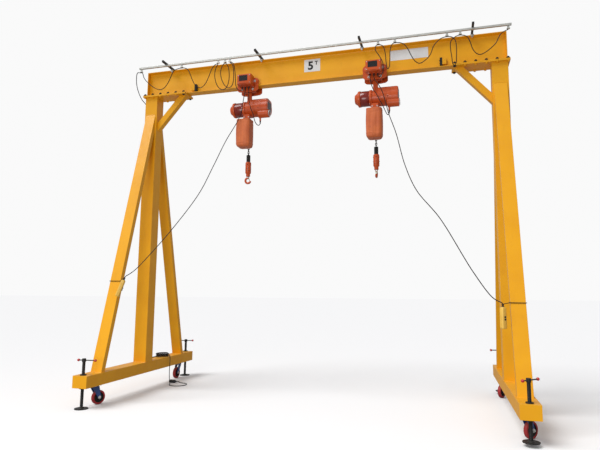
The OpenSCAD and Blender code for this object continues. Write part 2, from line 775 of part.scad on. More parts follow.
pendant_left = [
  [-1070, -200, 4990], [-1070, -200, 4960], [-1070, -215, 4900], [-1072, -270, 4760], [-1085, -312, 4540],
  [-1150, -318, 4370], [-1336, -330, 4060], [-1528, -379, 3626], [-1718, -463, 3179], [-2091, -626, 2583],
  [-2387, -756, 2176], [-2560, -832, 1960], [-2620, -900, 1885], [-2640, -960, 1852], [-2649, -975, 1832],
  [-2656.8, -975, 1813]
];
pendant_right = [
  [1052, -200, 4990], [1052, -200, 4960], [1062, -215, 4900], [1110, -240, 4820], [1174, -257, 4699],
  [1229, -284, 4507], [1283, -311, 4293], [1389, -364, 3973], [1515, -426, 3468], [1672, -504, 3080],
  [1984, -659, 2645], [2377, -854, 1915], [2586, -958, 1599], [2660, -992, 1548], [2692, -1000, 1535],
  [2700, -1000, 1524], [2700, -1000, 1504]
];
lead_left = [
  [-1010, -200, 4990], [-1010, -200, 4955], [-1005, -212, 4900], [-1000, -222, 4800], [-985, -225, 4700],
  [-958, -218, 4600], [-930, -190, 4520], [-915, -185, 4450], [-900, -165, 4390], [-880, -125, 4355],
  [-865, -85, 4358], [-856, -56, 4390], [-855, -50, 4420], [-855, -50, 4440]
];
lead_right = [
  [992, -200, 4990], [992, -200, 4955], [1000, -212, 4880], [1036, -225, 4750], [1089, -230, 4660],
  [1130, -225, 4570], [1178, -210, 4480], [1205, -190, 4420], [1228, -155, 4370], [1248, -105, 4350],
  [1262, -68, 4375], [1267, -50, 4410], [1267, -50, 4440]
];
feed_down = [
  [-3000.5, -275, laid], [-3026, -275, laid], [-3050, -274, 5427], [-3076, -272, 5434], [-3100, -266, 5400],
  [-3110, -255, 5340], [-3115, -240, 5259], [-3112, -205, 5162], [-3092, -165, 5065], [-3065, -120, 4987],
  [-3034, -75, 4938], [-3015, -35, 4890], [-3008, 0, 4830], [-3007, 20, 4760], [-3007, 30, 4600],
  [-3007, 30, 600], [-3007, 60, 520], [-3007, 100, 480], [-3003, 135, 464], [-2990, 180, 462],
  [-2965, 250, 462], [-2930, 330, 462], [-2898, 410, 462], [-2886, 470, 462], [-2885, 505, 462]
];
supply_drop = [
  [-2770, 620, 470], [-2752, 621, 467], [-2738, 623, 452], [-2731, 624, 420], [-2729, 620, 340],
  [-2724, 608, 220], [-2706, 585, 100], [-2680, 560, 30], [-2660, 525, 9], [-2636, 460, 8],
  [-2584, 411, 8], [-2510, 390, 8], [-2436, 411, 8], [-2382, 462, 8], [-2360, 535, 8],
  [-2378, 611, 8], [-2430, 667, 8], [-2505, 690, 8], [-2560, 692, 14], [-2590, 692, 28],
  [-2616, 692, 28]
];

function unit(v) = v / norm(v);

// Round tube swept through the points of a route, with ref across the route's general plane
module cord(route, d, sides, ref) {
  n = len(route);
  rings = [for (i = [0:n - 1])
    let (t = unit(route[min(i + 1, n - 1)] - route[max(i - 1, 0)]), u = unit(cross(t, ref)), v = cross(t, u))
    for (k = [0:sides - 1]) route[i] + d / 2 * (cos(360 * k / sides) * u + sin(360 * k / sides) * v)];
  walls = [for (i = [0:n - 2], k = [0:sides - 1])
    let (a = i * sides + k, b = i * sides + (k + 1) % sides)
    each [[a, b, b + sides], [a, b + sides, a + sides]]];
  caps = [[for (k = [sides - 1:-1:0]) k], [for (k = [0:sides - 1]) (n - 1) * sides + k]];
  polyhedron(points = rings, faces = concat(walls, caps));
}

module festoon_cables() {
  color(steel_black) cord(festoon_left, cable_d, 8, [0, 1, 0]);
  color(steel_black) cord(festoon_right, cable_d, 8, [0, 1, 0]);
}

module pendant_cables() {
  color(steel_black) cord(pendant_left, cable_d, 8, [0.3, 1, 0]);
  color(steel_black) cord(pendant_right, cable_d, 8, [-0.3, 1, 0]);
}

// Push-button pendants, each tied to the raking leg beside it by a knot on its cable
relief_h = 14;
knot_h = 16;
knot_d = 28;

module pendant_box() {
  hull() for (s = [-1, 1]) {
    translate([s * (pendant_w / 2 - 14), 0, -pendant_h + 14]) rotate([90, 0, 0])
      cylinder(r = 14, h = pendant_d, center = true, $fn = 24);
    translate([s * (pendant_w / 2 - 18), 0, -30]) rotate([90, 0, 0])
      cylinder(r = 14, h = pendant_d, center = true, $fn = 24);
  }
  translate([0, 0, -28]) cylinder(d1 = 40, d2 = 24, h = 28 + relief_h);
}

module pendants() {
  for (i = [0, 1]) color(pendant_yellow)
    translate(pendant_at[i]) rotate([0, pendant_lean[i], 0]) rotate([0, 0, pendant_turn[i]]) pendant_box();
}

module rod(a, b, d) {
  v = b - a;
  translate(a) rotate([0, acos(v[2] / norm(v)), atan2(v[1], v[0])]) cylinder(d = d, h = norm(v), $fn = 16);
}

module pendant_tie(i) {
  side = 2 * i - 1;
  lean = pendant_lean[i];
  tip = relief_h + seat_gap;
  wide = raker_w + 2 * seat_gap;
  deep = raker_d / cos(rake) + tie_d * tan(rake) + 2 * seat_gap;
  front = -raker_foot + (tie_z_at[i] - gb_top) * tan(rake) - seat_gap;
  corner = [side * (leg_x - (wide + tie_d) / 2), front - tie_d / 2, tie_z_at[i] + tie_d / 2];
  difference() {
    union() {
      translate([side * leg_x, front, tie_z_at[i]]) difference() {
        translate([-wide / 2 - tie_d, -tie_d, 0]) cube([wide + 2 * tie_d, deep + 2 * tie_d, tie_d]);
        translate([-wide / 2, 0, -cut]) cube([wide, deep, tie_d + 2 * cut]);
      }
      rod(corner, pendant_at[i] + (tip + knot_h - 3) * [sin(lean), 0, cos(lean)], tie_d);
      translate(pendant_at[i]) rotate([0, lean, 0]) translate([0, 0, tip]) cylinder(d = knot_d, h = knot_h);
    }
    translate(pendant_at[i]) rotate([0, lean, 0]) cylinder(d = cable_d + 1, h = 2 * (tip + knot_h));
  }
}

module pendant_ties() { for (i = [0, 1]) color(steel_black) pendant_tie(i); }

// Cable from each control box down into its hoist
module hoist_lead(route) { color(steel_black) cord(route, cable_d, 8, [0.2, 1, 0.1]); }

// Supply cable: down the left leg, coiled on the ground beam, and on to the floor with its plug
module feed_cable() { color(steel_black) cord(feed_down, cable_d, 8, [1, 0.2, 0.1]); }

module supply_cable() { color(steel_black) cord(supply_drop, cable_d, 8, [1, 0.3, 0.1]); }

module supply_coil() {
  color(steel_black) translate(coil_at) rotate_extrude()
    translate([coil_r - coil_turns * cable_d / 2, 0]) square([coil_turns * cable_d, coil_layers * cable_d]);
}

module supply_plug() {
  color(steel_grey) translate(supply_drop[len(supply_drop) - 1]) rotate([0, -90, 0]) rotate_extrude() polygon([
    [0, 0], [9, 0], [14, 30], [plug_d / 2 - 3, 32], [plug_d / 2, 36], [plug_d / 2, plug_l - 4],
    [plug_d / 2 - 4, plug_l], [0, plug_l]
  ]);
}

main_beam();
beam_end_plates();
beam_foot_plates();
leg_head_plates();
column(-1);  // left_column
column(1);  // right_column
rakers(-1);  // left_rakers
rakers(1);  // right_rakers
knee_braces();
ground_beam(-1);  // left_ground_beam
ground_beam(1);  // right_ground_beam
trolley_stops();
stop_buffers();
festoon_rail();
rail_arms();
cable_saddles();
caster_plates();
jack_sleeves();
pendants();
pendant_cables();
pendant_ties();
festoon_cables();
feed_cable();
supply_cable();
supply_coil();
supply_plug();
at_caster(-1, -1) fork();  // left_front_fork
at_caster(-1, 1) fork();  // left_rear_fork
at_caster(1, -1) fork();  // right_front_fork
at_caster(1, 1) fork();  // right_rear_fork
at_caster(-1, -1) wheel();  // left_front_wheel
at_caster(-1, 1) wheel();  // left_rear_wheel
at_caster(1, -1) wheel();  // right_front_wheel
at_caster(1, 1) wheel();  // right_rear_wheel
jack(-1, -1);  // left_front_jack
jack(-1, 1);  // left_rear_jack
jack(1, -1);  // right_front_jack
jack(1, 1);  // right_rear_jack
trolley_frame(left_hoist_x);  // left_trolley_frame
control_box(left_hoist_x);  // left_control_box
motor(left_hoist_x);  // left_motor
gearcase(left_hoist_x);  // left_gearcase
chain_bag(left_hoist_x);  // left_chain_bag
hoist_lead(lead_left);  // left_hoist_lead
load_chain(left_hoist_x);  // left_load_chain
chain_bumper(left_hoist_x);  // left_chain_bumper
hook_block(left_hoist_x);  // left_hook_block
hook(left_hoist_x, 180);  // left_hook
trolley_frame(right_hoist_x);  // right_trolley_frame
control_box(right_hoist_x);  // right_control_box
motor(right_hoist_x);  // right_motor
gearcase(right_hoist_x);  // right_gearcase
chain_bag(right_hoist_x);  // right_chain_bag
hoist_lead(lead_right);  // right_hoist_lead
load_chain(right_hoist_x);  // right_load_chain
chain_bumper(right_hoist_x);  // right_chain_bumper
hook_block(right_hoist_x);  // right_hook_block
hook(right_hoist_x, 90);  // right_hook
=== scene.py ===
import json
import math

import bmesh
import bpy
import numpy as np
from mathutils import Matrix, Vector


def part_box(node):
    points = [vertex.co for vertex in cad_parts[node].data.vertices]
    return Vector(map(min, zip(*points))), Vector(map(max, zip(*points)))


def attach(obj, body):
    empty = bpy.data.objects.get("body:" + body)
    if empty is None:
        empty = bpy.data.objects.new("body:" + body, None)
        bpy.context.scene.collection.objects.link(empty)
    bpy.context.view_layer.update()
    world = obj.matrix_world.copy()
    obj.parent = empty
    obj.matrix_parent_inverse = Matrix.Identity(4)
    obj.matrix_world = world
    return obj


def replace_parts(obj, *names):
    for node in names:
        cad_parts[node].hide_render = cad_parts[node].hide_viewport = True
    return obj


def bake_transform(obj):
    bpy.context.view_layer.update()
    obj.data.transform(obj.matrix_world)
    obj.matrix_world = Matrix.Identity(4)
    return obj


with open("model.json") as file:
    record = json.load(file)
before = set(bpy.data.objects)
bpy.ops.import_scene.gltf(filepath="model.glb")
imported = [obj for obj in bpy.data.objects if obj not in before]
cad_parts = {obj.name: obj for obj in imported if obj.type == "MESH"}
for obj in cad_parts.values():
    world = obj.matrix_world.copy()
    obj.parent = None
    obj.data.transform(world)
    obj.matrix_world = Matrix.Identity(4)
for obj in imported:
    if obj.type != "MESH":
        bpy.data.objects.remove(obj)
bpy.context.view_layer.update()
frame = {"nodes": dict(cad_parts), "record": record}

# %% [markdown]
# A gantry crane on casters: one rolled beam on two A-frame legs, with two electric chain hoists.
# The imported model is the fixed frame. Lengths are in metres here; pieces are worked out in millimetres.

MM = 0.001
scene = bpy.context.scene
home = {n: b for b, ns in frame["record"]["behaviour"]["bodies"].items() for n in ns}

# %% [markdown]
# The camera stands in the bay, a person's height above the floor and looking slightly up and to
# the left. Its place came from the beam's four corners, the columns and the feet in the photo.

# %% Camera
yaw, pitch, roll = 0.2725, 0.1253, 0.0089
lens = bpy.data.cameras.new("camera")
lens.sensor_width = 36
lens.lens = 511 / 600 * 36
camera = bpy.data.objects.new("camera", lens)
camera.location = (2.0029, -7.7678, 1.6751)
camera.rotation_mode = "XYZ"
turned = Matrix.Rotation(yaw, 4, "Z") @ Matrix.Rotation(math.pi / 2 + pitch, 4, "X") @ Matrix.Rotation(roll, 4, "Z")
camera.rotation_euler = turned.to_euler()
lens.clip_end = 100
scene.collection.objects.link(camera)
scene.camera = camera

# %% [markdown]
# Every new piece is a surface worked out as whole arrays. A shape here is a pair: its points, one
# row each, and its faces, a list of rows of point numbers. Shapes are joined, moved and turned as
# arrays, and only a finished piece becomes a Blender mesh.

# %% Shapes
def grid_faces(rows, cols, wrap=True):
    """Quads of a grid of points: each joins a point to its neighbours along both parameters."""
    i, j = np.meshgrid(np.arange(rows - 1), np.arange(cols if wrap else cols - 1), indexing="ij")
    a, b = i * cols + j, i * cols + (j + 1) % cols
    return np.stack([a, b, b + cols, a + cols], -1).reshape(-1, 4).tolist()


def lathe(profile, steps=32):
    """Revolves (radius, height) pairs about Z: x = r cos t, y = r sin t, z = h for t round the circle."""
    r, h = np.asarray(profile, float).T
    t = np.arange(steps) * 2 * np.pi / steps
    p = np.stack([np.outer(r, np.cos(t)), np.outer(r, np.sin(t)), np.repeat(h[:, None], steps, 1)], -1)
    return p.reshape(-1, 3), grid_faces(len(r), steps)


def block(lo, hi):
    """A box from its lowest to its highest corner: each of its 8 points takes one end on each axis."""
    k = np.arange(8)
    pick = np.stack([k & 1, k >> 1 & 1, k >> 2], -1)
    p = np.where(pick, np.asarray(hi, float), np.asarray(lo, float))
    return p, [[0, 2, 3, 1], [4, 5, 7, 6], [0, 1, 5, 4], [2, 6, 7, 3], [0, 4, 6, 2], [1, 3, 7, 5]]


def frames_along(path):
    """Two cross directions at each point of a path, carried along it with the least turning."""
    d = np.gradient(path, axis=0)
    d /= np.linalg.norm(d, axis=1)[:, None]
    u = np.cross(d[0], [0.31, 0.17, 0.93])
    out = []
    for t in d:
        u = u - t * (u @ t)
        u /= np.linalg.norm(u)
        out.append(u)
    u = np.array(out)
    return u, np.cross(d, u)


def tube(path, radius, sides=12, ends=True):
    """Carries a circle along a path: point + r (u cos t + v sin t), with u and v square to the path."""
    path = np.asarray(path, float)
    u, v = frames_along(path)
    t = np.arange(sides) * 2 * np.pi / sides
    r = np.broadcast_to(np.asarray(radius, float), len(path))[:, None, None]
    p = path[:, None] + r * (u[:, None] * np.cos(t)[None, :, None] + v[:, None] * np.sin(t)[None, :, None])
    p, f = p.reshape(-1, 3), grid_faces(len(path), sides)
    if ends:
        last = (len(path) - 1) * sides
        f += [list(range(sides))[::-1], list(range(last, last + sides))]
    return p, f


def join(*shapes):
    """Puts shapes in one pair of arrays, each one's point numbers after the last one's."""
    points, faces, base = [], [], 0
    for p, f in shapes:
        points.append(p)
        faces += [[i + base for i in q] for q in f]
        base += len(p)
    return np.vstack(points), faces


def placed(shape, at=(0, 0, 0), turn=(0, 0, 0)):
    """Turns a shape about X, Y and Z by degrees, in that order, then moves it."""
    x, y, z = np.radians(turn)
    m = np.array(Matrix.Rotation(z, 3, "Z") @ Matrix.Rotation(y, 3, "Y") @ Matrix.Rotation(x, 3, "X"))
    return shape[0] @ m.T + np.asarray(at, float), shape[1]


def aimed(shape, at, towards):
    """Turns a shape so that its Z axis points a given way, then moves it."""
    m = np.array(Vector(towards).to_track_quat("Z", "Y").to_matrix())
    return shape[0] @ m.T + np.asarray(at, float), shape[1]


def smooth_path(points, step):
    """A curve through points (Catmull-Rom, with knots by the root of the distance), in even steps."""
    p = np.asarray(points, float)
    p = np.vstack([2 * p[0] - p[1], p, 2 * p[-1] - p[-2]])
    k = np.r_[0, np.cumsum(np.sqrt(np.linalg.norm(np.diff(p, axis=0), axis=1)))]
    out = []
    s = np.linspace(0, 1, 24, endpoint=False)
    for i in range(1, len(p) - 2):
        t0, t1, t2, t3 = k[i - 1:i + 3]
        t = (t1 + s * (t2 - t1))[:, None]
        a1 = ((t1 - t) * p[i - 1] + (t - t0) * p[i]) / (t1 - t0)
        a2 = ((t2 - t) * p[i] + (t - t1) * p[i + 1]) / (t2 - t1)
        a3 = ((t3 - t) * p[i + 1] + (t - t2) * p[i + 2]) / (t3 - t2)
        b1 = ((t2 - t) * a1 + (t - t0) * a2) / (t2 - t0)
        b2 = ((t3 - t) * a2 + (t - t1) * a3) / (t3 - t1)
        out.append(((t2 - t) * b1 + (t - t1) * b2) / (t2 - t1))
    fine = np.vstack(out + [p[-2]])
    run = np.r_[0, np.cumsum(np.linalg.norm(np.diff(fine, axis=0), axis=1))]
    even = np.linspace(0, run[-1], max(3, int(run[-1] / step)))
    return np.stack([np.interp(even, run, fine[:, i]) for i in range(3)], -1)


print("a bolt head has", len(lathe([(0, 0), (9, 0), (9, 6), (0, 6)], 6)[1]), "faces before merging")

# %% [markdown]
# A finish is a node material. Paint on steel is never one flat colour: it is laid on in passes, it
# picks up pale dust where a face looks up, and its gloss changes from place to place. Each finish
# is two tones mixed by slow noise, a roughness from finer noise, dust from the way a face looks,
# and a faint bump. The patterns read Object coordinates, so they stay put as a piece moves.

# %% Node helpers
def noise(nt, at, scale, lo, hi, detail=5.0, stretch=None):
    """Noise between two levels, clipped to 0..1; stretch draws it out along an axis."""
    if stretch:
        mapping = nt.nodes.new("ShaderNodeMapping")
        mapping.inputs["Scale"].default_value = stretch
        nt.links.new(at, mapping.inputs["Vector"])
        at = mapping.outputs["Vector"]
    n = nt.nodes.new("ShaderNodeTexNoise")
    n.inputs["Scale"].default_value = scale
    n.inputs["Detail"].default_value = detail
    nt.links.new(at, n.inputs["Vector"])
    return spread(nt, n.outputs["Fac"], lo, hi)


def spread(nt, value, lo, hi, to_lo=0.0, to_hi=1.0):
    """Maps lo..hi to to_lo..to_hi, clipped."""
    m = nt.nodes.new("ShaderNodeMapRange")
    for key, v in zip(("From Min", "From Max", "To Min", "To Max"), (lo, hi, to_lo, to_hi)):
        m.inputs[key].default_value = v
    nt.links.new(value, m.inputs["Value"])
    return m.outputs["Result"]


def times(nt, a, b):
    """Product of two values; b may be a number."""
    m = nt.nodes.new("ShaderNodeMath")
    m.operation = "MULTIPLY"
    nt.links.new(a, m.inputs[0])
    if isinstance(b, (int, float)):
        m.inputs[1].default_value = b
    else:
        nt.links.new(b, m.inputs[1])
    return m.outputs["Value"]


def mixed(nt, share, a, b):
    """Colour a turned into b by a share; either may be a link or three numbers."""
    m = nt.nodes.new("ShaderNodeMix")
    m.data_type = "RGBA"
    nt.links.new(share, m.inputs["Factor"])
    for value, socket in ((a, m.inputs[6]), (b, m.inputs[7])):
        if isinstance(value, tuple):
            socket.default_value = (*value, 1)
        else:
            nt.links.new(value, socket)
    return m.outputs[2]


# %% Surface finish
def surface(name, tone, second, dust=0.25, dust_tone=(0.42, 0.38, 0.31), metal=0.0, rough=(0.35, 0.55),
            patch=2.5, fine=90.0, bump=0.12, grime=0.35, grime_tone=(0.05, 0.035, 0.02), coat=0.0, gloss=0.5):
    """Two tones by slow noise, grime in small spots and runs, dust on faces that look up, fine bump."""
    m = bpy.data.materials.new(name)
    m.use_nodes = True
    nt = m.node_tree
    shader = nt.nodes["Principled BSDF"]
    at = nt.nodes.new("ShaderNodeTexCoord").outputs["Object"]
    look = nt.nodes.new("ShaderNodeSeparateXYZ")
    nt.links.new(nt.nodes.new("ShaderNodeNewGeometry").outputs["Normal"], look.inputs[0])
    colour = mixed(nt, noise(nt, at, patch, 0.35, 0.68), tone, second)
    runs = noise(nt, at, patch * 6, 0.58, 0.86, 8.0, stretch=(1, 1, 0.25))
    colour = mixed(nt, times(nt, runs, grime), colour, grime_tone)
    up = spread(nt, look.outputs["Z"], 0.35, 0.95)
    settled = times(nt, times(nt, up, noise(nt, at, patch * 3, 0.25, 0.7, 6.0)), dust)
    nt.links.new(mixed(nt, settled, colour, dust_tone), shader.inputs["Base Color"])
    shader.inputs["Metallic"].default_value = metal
    shader.inputs["Specular IOR Level"].default_value = gloss
    nt.links.new(spread(nt, noise(nt, at, patch * 8, 0.3, 0.7), 0, 1, *rough), shader.inputs["Roughness"])
    if coat:
        shader.inputs["Coat Weight"].default_value = coat
        shader.inputs["Coat Roughness"].default_value = 0.12
    b = nt.nodes.new("ShaderNodeBump")
    b.inputs["Strength"].default_value = bump
    b.inputs["Distance"].default_value = 0.002
    nt.links.new(noise(nt, at, fine, 0.2, 0.8, 3.0), b.inputs["Height"])
    nt.links.new(b.outputs["Normal"], shader.inputs["Normal"])
    return m


YELLOW = surface("yellow_paint", (0.83, 0.385, 0.005), (0.78, 0.345, 0.004), coat=0.08, gloss=0.3, grime=0.10, dust=0.12, rough=(0.38, 0.52))
YELLOW_EDGE = surface("yellow_paint_thin", (0.86, 0.43, 0.02), (0.68, 0.31, 0.012), rough=(0.3, 0.5), grime=0.3, gloss=0.3)
ORANGE = surface("orange_paint", (0.60, 0.088, 0.012), (0.50, 0.066, 0.010), coat=0.12, gloss=0.35, rough=(0.3, 0.48), grime=0.35, dust=0.15)
ORANGE_EDGE = surface("orange_paint_thin", (0.68, 0.15, 0.035), (0.46, 0.085, 0.02), rough=(0.28, 0.5), grime=0.5, gloss=0.35)
RED_SHELL = surface("dark_red_paint", (0.21, 0.015, 0.007), (0.18, 0.013, 0.006), coat=0.45, gloss=0.3, rough=(0.2, 0.3), dust=0.1, bump=0.02)
BLUE = surface("blue_paint", (0.022, 0.075, 0.27), (0.016, 0.055, 0.20), coat=0.15)
BLUE_EDGE = surface("blue_paint_thin", (0.10, 0.17, 0.33), (0.03, 0.08, 0.24), rough=(0.3, 0.5), grime=0.5)
ZINC = surface("galvanised_steel", (0.60, 0.60, 0.56), (0.48, 0.48, 0.45), metal=0.7, rough=(0.38, 0.6), patch=14)
BRIGHT = surface("bright_steel", (0.74, 0.74, 0.72), (0.62, 0.62, 0.60), metal=0.85, rough=(0.22, 0.42), patch=20)
BLACK = surface("black_steel", (0.008, 0.008, 0.008), (0.016, 0.015, 0.014), rough=(0.38, 0.6), dust=0.07, gloss=0.35)
BLACK_EDGE = surface("black_steel_worn", (0.07, 0.066, 0.06), (0.02, 0.02, 0.02), metal=0.5, rough=(0.3, 0.5))
CHAIN = surface("chain_steel", (0.03, 0.028, 0.026), (0.07, 0.066, 0.06), metal=0.7, rough=(0.3, 0.5), patch=25, dust=0.1)
RUBBER = surface("black_rubber", (0.009, 0.009, 0.009), (0.018, 0.017, 0.016), rough=(0.55, 0.8), dust=0.12, gloss=0.3)
SHEATH = surface("cable_sheath", (0.006, 0.006, 0.006), (0.012, 0.011, 0.010), rough=(0.45, 0.6), dust=0.04, fine=60, gloss=0.3)
TREAD = surface("red_tread", (0.40, 0.022, 0.024), (0.30, 0.018, 0.02), rough=(0.5, 0.75), patch=20, grime=0.55)
CASE_YELLOW = surface("pendant_plastic", (0.86, 0.53, 0.09), (0.78, 0.46, 0.07), rough=(0.35, 0.5), patch=12, grime=0.12)
PLUG = surface("plug_plastic", (0.02, 0.022, 0.025), (0.035, 0.038, 0.04), rough=(0.4, 0.6), patch=12)
WHITE = surface("white_enamel", (0.74, 0.74, 0.73), (0.66, 0.66, 0.65), rough=(0.35, 0.5), patch=6, grime=0.12)
PLATE_BLACK = surface("black_enamel", (0.006, 0.006, 0.007), (0.012, 0.012, 0.013), rough=(0.2, 0.35), patch=10, dust=0.05)
LATCH = surface("zinc_latch", (0.36, 0.40, 0.30), (0.26, 0.29, 0.22), metal=0.7, rough=(0.35, 0.55), patch=15)
KNOB = surface("red_knob", (0.55, 0.012, 0.012), (0.45, 0.010, 0.010), coat=0.4, rough=(0.25, 0.4), patch=12, grime=0.15, dust=0.1)
print(len(bpy.data.materials), "materials")

# %% [markdown]
# A finished piece is one object at the origin with its place in its mesh. Its doubles are merged,
# so that poles and seams close, and its faces are turned outwards before it is shown. Edges
# sharper than 35 degrees stay crisp, and a live Bevel rounds them as a press or a grinder would.

# %% Making a piece
def rounded(obj, width, edge=None):
    """Adds a Bevel of a width in millimetres; its strips take the edge finish where one is given."""
    bevel = obj.modifiers.new("rounded_edges", "BEVEL")
    bevel.width = width * MM
    bevel.segments = 2
    bevel.limit_method = "ANGLE"
    bevel.angle_limit = math.radians(40)
    bevel.harden_normals = True
    if edge:
        obj.data.materials.append(edge)
        bevel.material = len(obj.data.materials) - 1


def piece(name, parts, body, bevel=0.0, edge=None):
    """One object from (shape, finish) pairs in millimetres, riding on a body."""
    finishes = list(dict.fromkeys(finish for _, finish in parts))
    points, faces = join(*[shape for shape, _ in parts])
    mesh = bpy.data.meshes.new(name)
    mesh.from_pydata((points * MM).tolist(), [], faces)
    which = np.repeat([finishes.index(f) for _, f in parts], [len(s[1]) for s, _ in parts])
    mesh.polygons.foreach_set("material_index", which.astype(np.int32))
    return seated(name, mesh, finishes, body, bevel, edge)


def seated(name, mesh, finishes, body, bevel=0.0, edge=None, recalc=True, doubles=1e-6):
    """Merges doubles, turns faces outwards, sets finishes and shading, and rides on the body."""
    bm = bmesh.new()
    bm.from_mesh(mesh)
    bmesh.ops.remove_doubles(bm, verts=bm.verts, dist=doubles)
    bmesh.ops.dissolve_degenerate(bm, edges=bm.edges, dist=1e-7)
    if recalc:
        bmesh.ops.recalc_face_normals(bm, faces=bm.faces)
    bm.to_mesh(mesh)
    bm.free()
    mesh.polygons.foreach_set("use_smooth", np.ones(len(mesh.polygons), bool))
    mesh.set_sharp_from_angle(angle=math.radians(35))
    for finish in finishes:
        mesh.materials.append(finish)
    obj = bpy.data.objects.new(name, mesh)
    scene.collection.objects.link(obj)
    if bevel:
        rounded(obj, bevel, edge)
    if body:
        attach(obj, body)
    return obj

# %% [markdown]
# The cables come first. Two flat loops of festoon cable hang under the rail, held by saddles; a
# push-button cable falls from each control box to its pendant; and the supply cable runs down the
# left leg, lies coiled on the ground beam and ends in its plug on the floor. Each is one smooth
# curve through points chosen along its route.

# %% Routes
FESTOON_LEFT = np.array([
    (-3, -.275, 5.419), (-2.988, -.275, 5.419), (-2.972, -.275, 5.395), (-2.96, -.275, 5.35),
    (-2.926, -.275, 5.289), (-2.86, -.275, 5.22), (-2.78, -.275, 5.15), (-2.69, -.275, 5.095),
    (-2.612, -.275, 5.072), (-2.545, -.275, 5.096), (-2.472, -.275, 5.178), (-2.419, -.275, 5.29),
    (-2.37, -.275, 5.385), (-2.3, -.275, 5.413), (-2.22, -.275, 5.419), (-2.15, -.275, 5.41),
    (-2.101, -.275, 5.375), (-2.055, -.275, 5.29), (-2.01, -.275, 5.184), (-1.96, -.275, 5.095),
    (-1.9, -.275, 5.04), (-1.83, -.275, 5.035), (-1.76, -.275, 5.1), (-1.703, -.275, 5.22),
    (-1.65, -.275, 5.35), (-1.6, -.275, 5.405), (-1.54, -.275, 5.419), (-1.58, -.262, 5.37),
    (-1.605, -.262, 5.26), (-1.585, -.262, 5.12), (-1.53, -.262, 5.01), (-1.45, -.262, 4.96),
    (-1.385, -.264, 4.99), (-1.345, -.266, 5.1), (-1.34, -.27, 5.24), (-1.365, -.273, 5.36),
    (-1.415, -.275, 5.419), (-1.46, -.29, 5.36), (-1.485, -.29, 5.25), (-1.455, -.29, 5.11),
    (-1.395, -.29, 5.01), (-1.325, -.29, 4.97), (-1.272, -.29, 5.01), (-1.25, -.288, 5.13),
    (-1.258, -.284, 5.28), (-1.285, -.28, 5.38), (-1.33, -.275, 5.419), (-1.272, -.278, 5.4),
    (-1.24, -.285, 5.3), (-1.222, -.29, 5.2), (-1.216, -.288, 5.08), (-1.205, -.28, 4.985),
    (-1.178, -.262, 4.935), (-1.146, -.222, 4.925), (-1.13, -.2, 4.955), (-1.13, -.2, 4.99),
])
FESTOON_RIGHT = np.array([
    (3, -.275, 5.419), (2.95, -.275, 5.4), (2.9, -.275, 5.37), (2.863, -.275, 5.31),
    (2.825, -.275, 5.233), (2.755, -.275, 5.165), (2.671, -.275, 5.107), (2.602, -.275, 5.084),
    (2.548, -.275, 5.114), (2.502, -.275, 5.19), (2.471, -.275, 5.3), (2.43, -.275, 5.385),
    (2.337, -.275, 5.419), (2.27, -.272, 5.405), (2.205, -.266, 5.35), (2.195, -.262, 5.25),
    (2.21, -.262, 5.1), (2.222, -.264, 4.99), (2.245, -.272, 4.958), (2.266, -.284, 4.99),
    (2.276, -.288, 5.1), (2.278, -.288, 5.25), (2.262, -.285, 5.35), (2.21, -.28, 5.405),
    (2.149, -.275, 5.419), (2.1, -.275, 5.413), (2.049, -.275, 5.395), (1.96, -.275, 5.305),
    (1.899, -.275, 5.161), (1.81, -.275, 5.075), (1.744, -.275, 5.048), (1.679, -.275, 5.093),
    (1.622, -.275, 5.194), (1.565, -.275, 5.32), (1.5, -.275, 5.395), (1.386, -.275, 5.419),
    (1.34, -.275, 5.4), (1.312, -.275, 5.3), (1.306, -.275, 5.15), (1.29, -.275, 5.03),
    (1.27, -.275, 5.01), (1.252, -.275, 5.1), (1.236, -.275, 5.28), (1.2, -.275, 5.395),
    (1.13, -.275, 5.419), (1.092, -.278, 5.4), (1.092, -.285, 5.33), (1.13, -.29, 5.26),
    (1.17, -.29, 5.19), (1.2, -.288, 5.12), (1.206, -.284, 5.04), (1.196, -.275, 4.965),
    (1.165, -.25, 4.927), (1.128, -.215, 4.925), (1.112, -.2, 4.955), (1.112, -.2, 4.99),
])
PENDANT_LEFT = np.array([
    (-1.07, -.2, 4.99), (-1.07, -.2, 4.96), (-1.07, -.215, 4.9), (-1.072, -.27, 4.76),
    (-1.085, -.312, 4.54), (-1.15, -.318, 4.37), (-1.336, -.33, 4.06), (-1.528, -.379, 3.626),
    (-1.718, -.463, 3.179), (-2.091, -.626, 2.583), (-2.387, -.756, 2.176), (-2.56, -.832, 1.96),
    (-2.62, -.9, 1.885), (-2.64, -.96, 1.852), (-2.649, -.975, 1.832), (-2.6568, -.975, 1.813),
])
PENDANT_RIGHT = np.array([
    (1.052, -.2, 4.99), (1.052, -.2, 4.96), (1.062, -.215, 4.9), (1.11, -.24, 4.82),
    (1.174, -.257, 4.699), (1.229, -.284, 4.507), (1.283, -.311, 4.293), (1.389, -.364, 3.973),
    (1.515, -.426, 3.468), (1.672, -.504, 3.08), (1.984, -.659, 2.645), (2.377, -.854, 1.915),
    (2.586, -.958, 1.599), (2.66, -.992, 1.548), (2.692, -1, 1.535), (2.7, -1, 1.524),
    (2.7, -1, 1.504),
])
LEAD_LEFT = np.array([
    (-1.01, -.2, 4.99), (-1.01, -.2, 4.955), (-1.005, -.212, 4.9), (-1, -.222, 4.8),
    (-.985, -.225, 4.7), (-.958, -.218, 4.6), (-.93, -.19, 4.52), (-.915, -.185, 4.45),
    (-.9, -.165, 4.39), (-.88, -.125, 4.355), (-.865, -.085, 4.358), (-.856, -.056, 4.39),
    (-.855, -.05, 4.42), (-.855, -.05, 4.44),
])
